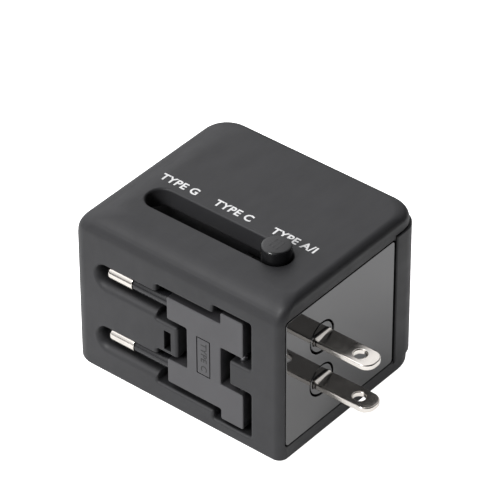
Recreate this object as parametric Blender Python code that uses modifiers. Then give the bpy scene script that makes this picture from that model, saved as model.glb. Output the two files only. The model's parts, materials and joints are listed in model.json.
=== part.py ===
"""Universal travel adapter with a slider for its plugs and a swing-out two-pin plug.

Run with: blender --background --python part.py
The constants are in millimetres and the scene is in metres, +Z up.
The origin is the centre of the underside. The swing-out plug is on -Y, the flat-blade
plug leaves at +X, the rectangular-pin plug leaves at -X, and the socket is on +Y.
"""

from math import cos, pi, radians, sin, sqrt, tan

import bmesh
import bpy
from mathutils import Matrix, Vector

MM = 0.001

# Body
HALF_X = 31.9
HALF_Y = 26.15
HEIGHT = 47.0
TOP_RADII = {"left": 8.5, "right": 2.2, "front": 6.5, "back": 4.0}
LEFT_SPREAD = 1.4
BOTTOM_RADIUS = 2.0
CORNER_RADII = {"front_right": 2.4, "back_right": 6.8, "back_left": 5.0, "front_left": 4.0}
GAP = 0.3
CAVITY_X = 28.3
CAVITY_FRONT = -17.7
CAVITY_LOW = 4.3
CAVITY_HIGH = 42.0
REAR_START = 16.35
REAR_HIGH = 42.9
REAR_PROUD = 0.4
REAR_CORNER_RADII = [0.3, 6.1, 5.0, 0.3]
REAR_WALL = 2.25
RIB_FRONT, RIB_BACK, RIB_LOW = -5.7, -4.7, 36.2

# Side panels
PANEL_THICKNESS = 1.8
PANEL_FRONT = {1: -24.29, -1: -21.9}
PANEL_BACK = 16.05
PANEL_LOW = 5.15
PANEL_HIGH = {1: 41.7, -1: 39.5}
PANEL_CORNER = 1.0
LEDGE_DEPTH = 2.1
LEDGE_WIDTH = 1.8
LEDGE_TOP = 1.0

# Slider, its knob and its slot
SLIDE_Y = -11.1
SLIDE_Z = 23.5
SLOT_LEFT = -16.5
SLOT_RIGHT = 18.3
SLOT_RADIUS = 3.85
SLOT_CHAMFER = 0.4
KNOB_RADIUS = 3.7
KNOB_TOP = 50.4
KNOB_EDGE = 0.9
KNOB_BORE = 2.7
CARRIAGE_LEFT = 7.7
CARRIAGE_RIGHT = 29.1
CARRIAGE_HALF_Y = 5.1
CARRIAGE_HALF_Z = 15.0
COVER_THICKNESS = 2.0
COVER_LEFT = CARRIAGE_LEFT - GAP - COVER_THICKNESS
ARM_RIGHT = 12.0
ARM_BACK = 13.5
ARM_HALF_Z = 3.2

# Flat-blade plug
BLADE_SPACING = 12.7
BLADE_WIDTH = 6.35
BLADE_THICKNESS = 1.5
BLADE_TIP = 47.9
BLADE_ROOT = 23.0
BLADE_HOLE_X = 43.05
BLADE_HOLE_RADIUS = 1.6
BLADE_TIP_CORNER = 2.7
COLLAR_RADIUS = 4.0
COLLAR_BACK = 22.0
COLLAR_FRONT = 31.8
COLLAR_HOLE = 4.45

# Rectangular-pin plug
UK_PIN_Y = -13.7
UK_PIN_SPACING = 22.22
UK_EARTH_OFFSET = 22.22
UK_PIN_LONG = 6.35
UK_PIN_SHORT = 3.95
UK_EARTH_LONG = 7.95
UK_TIP = -14.2
UK_SLEEVE_END = -4.1
UK_TAIL = 13.5
PIN_CLEARANCE = 0.3

# Swing-out two-pin plug
EURO_Z = 21.22
EURO_PIN_HALF_SPACING = 9.3
EURO_PIN_RADIUS = 2.0
EURO_TIP = -21.7
EURO_TIP_ROUND = 0.8
EURO_JUNCTION = -14.0
EURO_TAIL = 3.0
EURO_SLEEVE_RADIUS = 1.75
EURO_CORE = 1.2
HINGE_X = 18.6
HINGE_Y = -23.39
HINGE_RADIUS = 1.0
CARRIER_BACK = -20.65
RECESS_FLOOR = -19.65
TROUGH_RADIUS = 2.95
TROUGH_LEFT = -24.2
TROUGH_LIP_DEPTH = 0.5
TROUGH_LIP_UP = 0.2
TROUGH_LIP_DOWN = 1.2
TROUGH_LIP_LEFT = 0.5

# Outlines of the swing-out plug and its recess, as heights above and below EURO_Z
CARRIER_LEFT = -2.56
CARRIER_RIGHT = 20.42
NOTCH_RIGHT = 3.42
NOTCH_HALF = 6.02
ARM_UP = 12.49
ARM_DOWN = -12.95
EAR_LEFT = 13.7
EAR_INNER = 5.55
EAR_OUTER = 15.82
RECESS_LEFT = -6.0
RECESS_STEP = 11.3
RECESS_RIGHT = 22.65
RECESS_UP = 14.4
RECESS_DOWN = -14.85
RECESS_EAR_UP = 16.75
RECESS_EAR_DOWN = -17.1
BLOCK_RIGHT = 0.45
BLOCK_UP = 4.3
BLOCK_DOWN = -4.75
TONGUE_LEFT = 16.25
TONGUE_UP = 3.05
TONGUE_DOWN = -4.1

# Socket
SOCKET_HALF_X = 18.7
SOCKET_LOW = 6.1
SOCKET_HIGH = 41.1
SOCKET_CORNER = 4.0
LINE_Z = 12.5
EARTH_Z = LINE_Z + UK_EARTH_OFFSET

# Power path
RAIL_FRONT = -4.6
STRIP_THICKNESS = 0.5
FUSE_Y = 1.5
FUSE_Z = 12.5

# Screws
SCREW_X = 23.5
SCREW_LOW_Z = 10.0
SCREW_HIGH_Z = 37.2
SCREW_SHANK = 1.2
SCREW_HEAD = 2.3

ARC_STEPS = 5
ROUND_STEPS = 24


# ---------------------------------------------------------------- helpers

def collection(name):
    group = bpy.data.collections.new(name)
    bpy.context.scene.collection.children.link(group)
    return group


def material(name, color, roughness, metallic=0.0):
    made = bpy.data.materials.new(name)
    made.use_nodes = True
    surface = made.node_tree.nodes["Principled BSDF"]
    surface.inputs["Base Color"].default_value = (*color, 1.0)
    surface.inputs["Roughness"].default_value = roughness
    surface.inputs["Metallic"].default_value = metallic
    made.diffuse_color = (*color, 1.0)
    return made


def world_place(item):
    """The place of an unrotated empty, with its parents' places added."""
    place = Vector(item.location)
    return place + world_place(item.parent) if item.parent else place


def axis_empty(name, at, parent=None):
    empty = bpy.data.objects.new(name, None)
    empty.empty_display_size = 4 * MM
    PARTS.objects.link(empty)
    put(empty, at, parent)
    return empty


def put(item, at, parent=None):
    """Places an object at a point given in millimetres, under a parent empty."""
    item.parent = parent
    item.location = Vector(at) * MM - (world_place(parent) if parent else Vector())


def add(name, mesh, finish=None, at=(0, 0, 0), parent=None):
    """Adds a mesh as a sub-part with its own material, or as a cutter if it has none."""
    made = bpy.data.objects.new(name, mesh)
    if finish is None:
        CUTTERS.objects.link(made)
        made.hide_render = True
        made.display_type = "WIRE"
    else:
        PARTS.objects.link(made)
        mesh.materials.append(material(name, *finish))
    put(made, at, parent)
    return made


def mesh_from(form, name):
    mesh = bpy.data.meshes.new(name)
    form.to_mesh(mesh)
    form.free()
    return mesh


def box(name, low, high, finish=None, parent=None):
    """A box between two corners."""
    low, high = Vector(low), Vector(high)
    form = bmesh.new()
    scale = Matrix.Diagonal(((high - low) * MM).to_4d())
    bmesh.ops.create_cube(form, size=1.0, matrix=scale)
    return add(name, mesh_from(form, name), finish, (low + high) / 2, parent)


def cylinder(name, radius, length, turn, at, finish=None, parent=None):
    """A cylinder centred on a point, turned from the Z axis by an Euler rotation."""
    form = bmesh.new()
    bmesh.ops.create_cone(form, cap_ends=True, segments=ROUND_STEPS,
                          radius1=radius * MM, radius2=radius * MM, depth=length * MM)
    made = add(name, mesh_from(form, name), finish, at, parent)
    made.rotation_euler = turn
    return made


def loft(name, rings, finish=None, parent=None, at=(0, 0, 0)):
    """A closed solid through rings of points, each ring with as many points as the next."""
    form = bmesh.new()
    loops = [[form.verts.new(Vector(point) * MM) for point in ring] for ring in rings]
    count = len(rings[0])
    for lower, upper in zip(loops, loops[1:]):
        for i in range(count):
            j = (i + 1) % count
            form.faces.new((lower[i], lower[j], upper[j], upper[i]))
    form.faces.new(loops[-1])
    form.faces.new(reversed(loops[0]))
    bmesh.ops.recalc_face_normals(form, faces=form.faces)
    return add(name, mesh_from(form, name), finish, at, parent)


def plate(name, outlines, low, high, plane, finish=None, parent=None, at=None):
    """A flat outline, with any holes after it, drawn in a plane and thickened along its normal.

    plane is XY, XZ or YZ. low and high bound it along the third axis. at is the point
    that becomes the object's origin: the outline's own origin unless given.
    """
    curve = bpy.data.curves.new(name, "CURVE")
    curve.dimensions = "2D"
    curve.fill_mode = "BOTH"
    curve.extrude = (high - low) / 2 * MM
    middle = (high + low) / 2
    at = at or (0, 0, 0)
    across, up = {"XY": (0, 1), "XZ": (0, 2), "YZ": (1, 2)}[plane]
    normal = 3 - across - up
    for outline in outlines:
        spline = curve.splines.new("POLY")
        spline.points.add(len(outline) - 1)
        for point, (u, v) in zip(spline.points, outline):
            point.co = ((u - at[across]) * MM, (v - at[up]) * MM, 0.0, 1.0)
        spline.use_cyclic_u = True
    holder = bpy.data.objects.new(name + "_outline", curve)
    CUTTERS.objects.link(holder)
    evaluated = holder.evaluated_get(bpy.context.evaluated_depsgraph_get())
    mesh = bpy.data.meshes.new_from_object(evaluated)
    bpy.data.objects.remove(holder)
    form = bmesh.new()
    form.from_mesh(mesh)
    bmesh.ops.remove_doubles(form, verts=form.verts, dist=1e-6)
    turn = {"XY": Matrix(), "XZ": Matrix.Rotation(pi / 2, 4, "X"),
            "YZ": Matrix.Rotation(pi / 2, 4, "Z") @ Matrix.Rotation(pi / 2, 4, "X")}[plane]
    offset = Vector()
    offset[normal] = (middle - at[normal]) * MM
    bmesh.ops.transform(form, matrix=Matrix.Translation(offset) @ turn, verts=form.verts)
    form.to_mesh(mesh)
    form.free()
    mesh.materials.clear()
    return add(name, mesh, finish, at, parent)


def turned(name, profile, turn, at, finish, parent=None, steps=ROUND_STEPS):
    """A profile of (radius, height) points, from the top end down, turned about its axis."""
    mesh = bpy.data.meshes.new(name)
    points = [(radius * MM, 0.0, height * MM) for radius, height in profile]
    mesh.from_pydata(points, [(i, i + 1) for i in range(len(points) - 1)], [])
    made = add(name, mesh, finish, at, parent)
    made.rotation_euler = turn
    screw = made.modifiers.new("turn", "SCREW")
    screw.axis = "Z"
    screw.steps = screw.render_steps = steps
    screw.use_merge_vertices = True
    screw.merge_threshold = 1e-6
    return made


def bevel(target, width, segments=2):
    step = target.modifiers.new("bevel", "BEVEL")
    step.width = width * MM
    step.segments = segments
    step.limit_method = "ANGLE"
    step.angle_limit = radians(50)


def combine(target, tools, operation):
    for tool in tools:
        step = target.modifiers.new(tool.name, "BOOLEAN")
        step.operation = operation
        step.object = tool


def cut(target, *tools):
    combine(target, tools, "DIFFERENCE")


def join(target, *tools):
    combine(target, tools, "UNION")


# ---------------------------------------------------------------- outlines

def fillet(points, radius, steps=ARC_STEPS):
    """A polygon with its corners rounded. radius is one value, or one for each corner."""
    radii = radius if isinstance(radius, (list, tuple)) else [radius] * len(points)
    outline = []
    for i, corner in enumerate(points):
        corner = Vector(corner)
        before = (Vector(points[i - 1]) - corner).normalized()
        after = (Vector(points[(i + 1) % len(points)]) - corner).normalized()
        half = before.angle(after) / 2
        middle = (before + after).normalized()
        centre = corner + middle * (radii[i] / sin(half))
        start = corner + before * (radii[i] / tan(half)) - centre
        sweep = start.angle_signed(corner + after * (radii[i] / tan(half)) - centre)
        for k in range(steps + 1):
            a = -sweep * k / steps
            outline.append((centre.x + start.x * cos(a) - start.y * sin(a),
                            centre.y + start.x * sin(a) + start.y * cos(a)))
    return outline


def rectangle(u0, u1, v0, v1, radius=0.0, steps=ARC_STEPS):
    points = [(u1, v0), (u1, v1), (u0, v1), (u0, v0)]
    return fillet(points, radius, steps) if radius else points


def circle(u, v, radius, steps=ROUND_STEPS):
    return [(u + radius * cos(2 * pi * i / steps), v + radius * sin(2 * pi * i / steps))
            for i in range(steps)]


def stadium(u0, u1, v, radius):
    """Two half circles about (u0, v) and (u1, v) and the straights between them."""
    steps = ROUND_STEPS // 2
    right = [(u1 + radius * sin(pi * i / steps), v - radius * cos(pi * i / steps))
             for i in range(steps + 1)]
    left = [(u0 - radius * sin(pi * i / steps), v + radius * cos(pi * i / steps))
            for i in range(steps + 1)]
    return right + left


def raised(outline):
    """An outline about v = 0, raised to the swing-out plug's middle."""
    return [(u, v + EURO_Z) for u, v in outline]


# ---------------------------------------------------------------- finishes: colour, roughness, metallic

SOFT_BLACK = ((0.030, 0.030, 0.033), 0.55)
SATIN_BLACK = ((0.045, 0.045, 0.049), 0.38)
GLOSS_BLACK = ((0.012, 0.012, 0.014), 0.06)
INSIDE_BLACK = ((0.020, 0.020, 0.022), 0.60)
SLEEVE_BLACK = ((0.018, 0.018, 0.020), 0.32)
NICKEL = ((0.72, 0.69, 0.64), 0.22, 1.0)
BRASS = ((0.72, 0.53, 0.26), 0.30, 1.0)
STEEL = ((0.55, 0.55, 0.56), 0.30, 1.0)
CERAMIC = ((0.80, 0.79, 0.75), 0.35)


# ---------------------------------------------------------------- housing

def edge_inset(radius, depth):
    """How far a rounded edge has turned in, depth below its crest."""
    if depth >= radius:
        return 0.0
    return radius - sqrt(radius ** 2 - (radius - depth) ** 2)


def body_levels():
    """Heights that give each edge radius its own even arc."""
    levels = {HEIGHT, 0.0}
    for radius in TOP_RADII.values():
        levels |= {HEIGHT - radius * (1 - sin(pi / 2 * i / ARC_STEPS)) for i in range(ARC_STEPS)}
    levels |= {BOTTOM_RADIUS * (1 - sin(pi / 2 * i / ARC_STEPS)) for i in range(ARC_STEPS)}
    kept = []
    for level in sorted(levels):
        if not kept or level - kept[-1] > 0.04:
            kept.append(level)
    kept[-1] = HEIGHT
    return kept


def body_sides(level):
    """The left, right, front and back of the body's outline at a height."""
    inset = {side: edge_inset(radius, HEIGHT - level) for side, radius in TOP_RADII.items()}
    low = edge_inset(BOTTOM_RADIUS, level)
    return (-HALF_X + LEFT_SPREAD * inset["left"] + low, HALF_X - inset["right"] - low,
            -HALF_Y + inset["front"] + low, HALF_Y - inset["back"] - low)


def body_ring(level):
    left, right, front, back = body_sides(level)
    corners = [(right, front), (right, back), (left, back), (left, front)]
    radii = [CORNER_RADII[name] for name in ("front_right", "back_right", "back_left", "front_left")]
    return [(x, y, level) for x, y in fillet(corners, radii)]


def rear_ring(level):
    """The body's outline behind the side panels, a little proud at the right."""
    left, right, _, back = body_sides(level)
    right, front = right + REAR_PROUD, REAR_START + 0.25
    corners = [(right, front), (right, back), (left, back), (left, front)]
    return [(x, y, level) for x, y in fillet(corners, REAR_CORNER_RADII)]


def slot_cutter():
    levels = ((CAVITY_HIGH - 1, 0), (HEIGHT - SLOT_CHAMFER, 0), (HEIGHT, SLOT_CHAMFER),
              (HEIGHT + 1, SLOT_CHAMFER + 1))
    return loft("slot_cutter", [
        [(x, y, z) for x, y in stadium(SLOT_LEFT, SLOT_RIGHT, SLIDE_Y, SLOT_RADIUS + grown)]
        for z, grown in levels])


def recess_cutter():
    """The H-shaped recess: a latch block enters it from the left and a hinge tongue from the right."""
    outline = [(RECESS_LEFT, RECESS_UP), (RECESS_STEP, RECESS_UP), (RECESS_STEP, RECESS_EAR_UP),
               (RECESS_RIGHT, RECESS_EAR_UP), (RECESS_RIGHT, TONGUE_UP), (TONGUE_LEFT, TONGUE_UP),
               (TONGUE_LEFT, TONGUE_DOWN), (RECESS_RIGHT, TONGUE_DOWN), (RECESS_RIGHT, RECESS_EAR_DOWN),
               (RECESS_STEP, RECESS_EAR_DOWN), (RECESS_STEP, RECESS_DOWN), (RECESS_LEFT, RECESS_DOWN),
               (RECESS_LEFT, BLOCK_DOWN), (BLOCK_RIGHT, BLOCK_DOWN), (BLOCK_RIGHT, BLOCK_UP),
               (RECESS_LEFT, BLOCK_UP)]
    return plate("recess_cutter", [fillet(raised(outline), 0.6, 3)], -HALF_Y - 1, RECESS_FLOOR, "XZ")


def trough_cutter(name, z):
    """A round-bottomed trough for one pin, with a soft lower lip, open to the recess at its right."""
    up, down, left = TROUGH_LIP_UP, TROUGH_LIP_DOWN, TROUGH_LIP_LEFT
    sections = [(-HALF_Y - 1, TROUGH_RADIUS + 2 * up, TROUGH_RADIUS + 2 * down, 2 * left),
                (-HALF_Y, TROUGH_RADIUS + up, TROUGH_RADIUS + down, left),
                (-HALF_Y + TROUGH_LIP_DEPTH, TROUGH_RADIUS, TROUGH_RADIUS, 0)]
    for i in range(ARC_STEPS + 1):
        a = radians(85) * i / ARC_STEPS
        half = TROUGH_RADIUS * cos(a)
        sections.append((HINGE_Y + TROUGH_RADIUS * sin(a), half, half, half - TROUGH_RADIUS))
    steps = ROUND_STEPS // 2
    rings = []
    for y, above, below, beyond in sections:
        half, middle = (above + below) / 2, z + (above - below) / 2
        centre = TROUGH_LEFT - beyond + half
        arc = [(centre - half * sin(pi * i / steps), y, middle + half * cos(pi * i / steps))
               for i in range(steps + 1)]
        rings.append([(-5.0, y, middle + half)] + arc + [(-5.0, y, middle - half)])
    return loft(name, rings)


def panel_cutters(side, name):
    """A pocket for a side panel and the window behind it. side is 1 for +X and -1 for -X."""
    ledge = HALF_X - LEDGE_DEPTH
    pocket = plate(name + "_pocket", [rectangle(
        PANEL_FRONT[side] - 0.25, PANEL_BACK + 0.4, PANEL_LOW - 0.25, PANEL_HIGH[side] + 0.25,
        PANEL_CORNER)],
        *sorted((side * ledge, side * (HALF_X + 1))), "YZ")
    window = box(name + "_window",
                 (min(side * (CAVITY_X - 1), side * (ledge + 1)), CAVITY_FRONT, PANEL_LOW + LEDGE_WIDTH),
                 (max(side * (CAVITY_X - 1), side * (ledge + 1)), REAR_START - LEDGE_WIDTH,
                  PANEL_HIGH[side] - LEDGE_TOP))
    return pocket, window


def screw_places():
    return [(x, z) for z in (SCREW_LOW_Z, SCREW_HIGH_Z) for x in (-SCREW_X, SCREW_X)]


def front_housing():
    """The main shell, with a rib behind the slot that guides the slider and shields the inside."""
    housing = loft("front_housing", [body_ring(level) for level in body_levels()], SOFT_BLACK)
    beyond = HALF_Y + 4
    cut(housing,
        box("cavity_cutter", (-CAVITY_X, CAVITY_FRONT, CAVITY_LOW), (CAVITY_X, beyond, CAVITY_HIGH)),
        box("rear_cutter", (-HALF_X - 4, REAR_START, CAVITY_LOW),
            (HALF_X + 4, beyond + 1, REAR_HIGH)),
        *panel_cutters(1, "us"), *panel_cutters(-1, "uk"),
        slot_cutter(), recess_cutter())
    for name, z in (("upper", EURO_Z + EURO_PIN_HALF_SPACING), ("lower", EURO_Z - EURO_PIN_HALF_SPACING)):
        cut(housing, trough_cutter("trough_" + name, z),
            box("contact_slot_" + name, (HINGE_X - 0.6, RECESS_FLOOR - 0.5, z - 1.9),
                (HINGE_X + 0.6, CAVITY_FRONT + 0.5, z + 1.9)))
    cut(housing,
        box("latch_window", (-3.5, -HALF_Y - 1, 17.7), (-1.4, -HALF_Y + 2.0, 23.3)),
        cylinder("hinge_bore", HINGE_RADIUS + 0.1, 10, (0, 0, 0), (HINGE_X, HINGE_Y, EURO_Z)))
    join(housing, box("guide_rib", (-CAVITY_X - 0.5, RIB_FRONT, RIB_LOW),
                      (CAVITY_X + 0.5, RIB_BACK, CAVITY_HIGH + 1)))
    for number, (x, z) in enumerate(screw_places(), 1):
        wall = CAVITY_LOW - 1 if z < SLIDE_Z else CAVITY_HIGH + 1
        low, high = sorted((wall, z + (3 if z < SLIDE_Z else -3)))
        join(housing, box(f"front_boss_{number}", (x - 2.9, 6.0, low), (x + 2.9, 14.9, high)))
        cut(housing, cylinder(f"front_boss_bore_{number}", SCREW_SHANK + 0.2, 7.5,
                              (pi / 2, 0, 0), (x, 11.6, z)))


def rear_housing():
    """The socket half, slid in from the back between the front housing's top and bottom walls."""
    front, low, high = REAR_START + 0.25, CAVITY_LOW + GAP, REAR_HIGH - GAP
    levels = [low] + [level for level in body_levels() if low < level < high] + [high]
    housing = loft("rear_housing", [rear_ring(level) for level in levels], SOFT_BLACK)
    cut(housing,
        box("rear_hollow", (-CAVITY_X + 0.3, front - 1, low + 2.3),
            (CAVITY_X - 0.3, HALF_Y - REAR_WALL, high - 2.3)),
        plate("socket_opening", [rectangle(-SOCKET_HALF_X - GAP, SOCKET_HALF_X + GAP, SOCKET_LOW - GAP,
                                           SOCKET_HIGH + GAP, SOCKET_CORNER)],
              HALF_Y - REAR_WALL - 1, HALF_Y + 1, "XZ"))
    for number, (x, z) in enumerate(screw_places(), 1):
        join(housing, box(f"rear_boss_{number}", (x - 2.9, 15.2, z - 2.9),
                          (x + 2.9, HALF_Y - REAR_WALL + 1, z + 2.9)))
        cut(housing,
            cylinder(f"rear_boss_bore_{number}", SCREW_SHANK + 0.4, 20, (pi / 2, 0, 0), (x, 20, z)),
            cylinder(f"rear_counterbore_{number}", SCREW_HEAD + 0.3, 4, (pi / 2, 0, 0),
                     (x, HALF_Y - 2.4 + 2, z)))


def housing_screws():
    profile = [(0, 0), (1.5, 0), (SCREW_HEAD, -0.5), (SCREW_HEAD, -1.5), (SCREW_SHANK, -1.8),
               (SCREW_SHANK, -14.6), (0, -15.6)]
    slot, reach, depth = 0.35, 1.3, 0.9
    head_top = HALF_Y - 0.6
    for number, (x, z) in enumerate(screw_places(), 1):
        screw = turned(f"housing_screw_{number}", profile, (-pi / 2, 0, 0), (x, head_top, z), STEEL,
                       steps=16)
        for direction, (u, v) in (("across", (reach, slot)), ("up", (slot, reach))):
            cut(screw, box(f"screw_slot_{direction}_{number}", (x - u, head_top - depth, z - v),
                           (x + u, head_top + 1, z + v)))


# ---------------------------------------------------------------- side panels

def side_panels():
    right, left = (rectangle(PANEL_FRONT[side], PANEL_BACK, PANEL_LOW, PANEL_HIGH[side], PANEL_CORNER)
                   for side in (1, -1))
    blade_holes = [circle(SLIDE_Y, SLIDE_Z + sign * BLADE_SPACING / 2, COLLAR_HOLE) for sign in (1, -1)]
    inner = HALF_X - PANEL_THICKNESS
    plate("us_side_panel", [right] + blade_holes, inner, HALF_X, "YZ", GLOSS_BLACK)
    plate("uk_side_panel", [left] + uk_pin_outlines(2 * PIN_CLEARANCE), -HALF_X, -inner, "YZ",
          GLOSS_BLACK)


def uk_pin_outlines(grown):
    """The three pins' outlines in the YZ plane, grown by a clearance on every side."""
    half_long, half_short = UK_PIN_LONG / 2 + grown, UK_PIN_SHORT / 2 + grown
    outlines = [rectangle(UK_PIN_Y - half_short, UK_PIN_Y + half_short, z - half_long, z + half_long,
                          0.5, 2) for z in uk_pin_heights()]
    earth = UK_PIN_Y + UK_EARTH_OFFSET
    half_earth = UK_EARTH_LONG / 2 + grown
    return outlines + [rectangle(earth - half_earth, earth + half_earth, SLIDE_Z - half_short,
                                 SLIDE_Z + half_short, 0.5, 2)]


def uk_pin_heights():
    return SLIDE_Z + UK_PIN_SPACING / 2, SLIDE_Z - UK_PIN_SPACING / 2


# ---------------------------------------------------------------- slider

def slider_carriage(parent):
    """The sliding block that carries both fixed plugs, with an arm out to the earth pin."""
    back, front = SLIDE_Y + CARRIAGE_HALF_Y, SLIDE_Y - CARRIAGE_HALF_Y
    low, high = SLIDE_Z - CARRIAGE_HALF_Z, SLIDE_Z + CARRIAGE_HALF_Z
    carriage = box("slider_carriage", (CARRIAGE_LEFT, front, low), (CARRIAGE_RIGHT, back, high),
                   INSIDE_BLACK, parent)
    join(carriage, box("carriage_arm", (CARRIAGE_LEFT, back - 1, SLIDE_Z - ARM_HALF_Z),
                       (ARM_RIGHT, ARM_BACK, SLIDE_Z + ARM_HALF_Z)))
    for sign in (1, -1):
        cut(carriage, cylinder(f"collar_bore_{sign}", COLLAR_RADIUS + 0.25, 10, (0, pi / 2, 0),
                               (COLLAR_BACK - GAP + 5, SLIDE_Y, SLIDE_Z + sign * BLADE_SPACING / 2)))
    depths = (UK_TAIL + 0.5, UK_TAIL + 0.5, CARRIAGE_LEFT + 2.8)
    for number, (outline, depth) in enumerate(zip(uk_pin_outlines(PIN_CLEARANCE / 2), depths), 1):
        cut(carriage, plate(f"pin_pocket_{number}", [outline], CARRIAGE_LEFT - 1, depth, "YZ"))
    cut(carriage, cylinder("knob_bore", KNOB_BORE, 11, (0, 0, 0), (SLOT_RIGHT, SLIDE_Y, high - 10.5 + 5.5)))


def carriage_cover(parent):
    back, front = SLIDE_Y + CARRIAGE_HALF_Y, SLIDE_Y - CARRIAGE_HALF_Y
    upper = [(front, CARRIAGE_HALF_Z), (back, CARRIAGE_HALF_Z), (back, ARM_HALF_Z),
             (ARM_BACK - 0.2, ARM_HALF_Z)]
    lower = [(y, -z) for y, z in reversed(upper)]
    outline = [(y, z + SLIDE_Z) for y, z in upper + lower]
    plate("carriage_cover", [outline] + uk_pin_outlines(PIN_CLEARANCE / 2), COVER_LEFT,
          COVER_LEFT + COVER_THICKNESS, "YZ", INSIDE_BLACK, parent)


def blunt_bar(name, sections, y, z, finish, parent):
    """A rectangular bar along X. Each section is (x, half of its Y size, half of its Z size)."""
    rings = [[(x, u, v) for u, v in rectangle(y - half_y, y + half_y, z - half_z, z + half_z, 0.4, 2)]
             for x, half_y, half_z in sections]
    return loft(name, rings, finish, parent)


def uk_plug(parent):
    """Two nickel pins in part sleeves, and the plastic earth pin that opens the socket's shutter."""
    half_y, half_z = UK_PIN_SHORT / 2, UK_PIN_LONG / 2
    core_y, core_z = half_y - 0.6, half_z - 0.6
    for name, z in zip(("live", "neutral"), uk_pin_heights()):
        blunt_bar("uk_pin_" + name, (
            (UK_TIP, half_y - 0.9, half_z - 0.9), (UK_TIP + 1.5, half_y, half_z),
            (UK_SLEEVE_END - 0.15, half_y, half_z), (UK_SLEEVE_END - 0.1499, core_y, core_z),
            (UK_TAIL, core_y, core_z)), UK_PIN_Y, z, NICKEL, parent)
        outlines = [rectangle(UK_PIN_Y - y, UK_PIN_Y + y, z - v, z + v, 0.5, 2)
                    for y, v in ((half_y, half_z), (core_y + 0.15, core_z + 0.15))]
        plate("uk_sleeve_" + name, outlines, UK_SLEEVE_END, 9.0, "YZ", SLEEVE_BLACK, parent)
    half_earth = UK_EARTH_LONG / 2
    blunt_bar("uk_earth_pin", (
        (UK_TIP, half_earth - 0.9, half_y - 0.9), (UK_TIP + 1.5, half_earth, half_y),
        (CARRIAGE_LEFT + 2.5, half_earth, half_y)), UK_PIN_Y + UK_EARTH_OFFSET, SLIDE_Z, SATIN_BLACK, parent)


def wipers(parent):
    """Two sprung strips on the carriage that run along the contact rails."""
    low, high, thickness = -5.85, -5.0, 0.25
    path = [(11, low), (14, low), (17, high), (19, high), (22, low)]
    outline = path + [(x, y + thickness) for x, y in reversed(path)]
    for name, z in (("live", 10.0), ("neutral", 33.0)):
        plate("wiper_" + name, [outline], z - 1.3, z + 1.3, "XY", BRASS, parent)


def slider_knob(parent):
    top = [(0, KNOB_TOP)]
    for i in range(ARC_STEPS + 1):
        a = pi / 2 * i / ARC_STEPS
        top.append((KNOB_RADIUS - KNOB_EDGE + KNOB_EDGE * sin(a), KNOB_TOP - KNOB_EDGE + KNOB_EDGE * cos(a)))
    stem = KNOB_BORE - 0.4
    flange_top, flange_low, foot = CAVITY_HIGH - GAP, CAVITY_HIGH - 1.5, 33.8
    rest = [(KNOB_RADIUS, flange_top), (KNOB_RADIUS + 1.2, flange_top), (KNOB_RADIUS + 1.2, flange_low),
            (stem, flange_low), (stem, foot), (0, foot)]
    profile = [(radius, height - KNOB_TOP) for radius, height in top + rest]
    turned("slider_knob", profile, (0, 0, 0), (SLOT_RIGHT, SLIDE_Y, KNOB_TOP), SATIN_BLACK, parent, 32)


def knob_spring(parent):
    """The compression spring under the knob's stem."""
    radius, wire, turns, low, high, steps = 2.1, 0.22, 4, 28.5, 33.3, 12
    curve = bpy.data.curves.new("knob_spring", "CURVE")
    curve.dimensions = "3D"
    curve.bevel_depth = wire * MM
    curve.bevel_resolution = 1
    curve.use_fill_caps = True
    spline = curve.splines.new("POLY")
    count = turns * steps + 1
    spline.points.add(count - 1)
    for i, point in enumerate(spline.points):
        a = 2 * pi * i / steps
        height = low + (high - low) * i / (count - 1) - SLIDE_Z
        point.co = (radius * cos(a) * MM, radius * sin(a) * MM, height * MM, 1.0)
    spring = bpy.data.objects.new("knob_spring", curve)
    curve.materials.append(material("knob_spring", *STEEL))
    PARTS.objects.link(spring)
    put(spring, (SLOT_RIGHT, SLIDE_Y, SLIDE_Z), parent)


# ---------------------------------------------------------------- flat-blade plug

def us_rotor(name, z, parent):
    """A round collar and the blade through it, which twist together about the collar's axis."""
    half_width, half_thickness = BLADE_WIDTH / 2, BLADE_THICKNESS / 2
    slot = rectangle(SLIDE_Y - half_width - 0.15, SLIDE_Y + half_width + 0.15,
                     z - half_thickness - 0.15, z + half_thickness + 0.15)
    centre = (COLLAR_FRONT, SLIDE_Y, z)
    plate("us_collar_" + name, [circle(SLIDE_Y, z, COLLAR_RADIUS), slot], COLLAR_BACK, COLLAR_FRONT, "YZ",
          SATIN_BLACK, parent, centre)
    corners = [(BLADE_ROOT, SLIDE_Y - half_width), (BLADE_TIP, SLIDE_Y - half_width),
               (BLADE_TIP, SLIDE_Y + half_width), (BLADE_ROOT, SLIDE_Y + half_width)]
    blade = plate("us_blade_" + name, [fillet(corners, [0.3, BLADE_TIP_CORNER, BLADE_TIP_CORNER, 0.3]),
                                       circle(BLADE_HOLE_X, SLIDE_Y, BLADE_HOLE_RADIUS)],
                  z - half_thickness, z + half_thickness, "XY", NICKEL, parent, centre)
    bevel(blade, 0.25, 1)


# ---------------------------------------------------------------- swing-out plug

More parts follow.
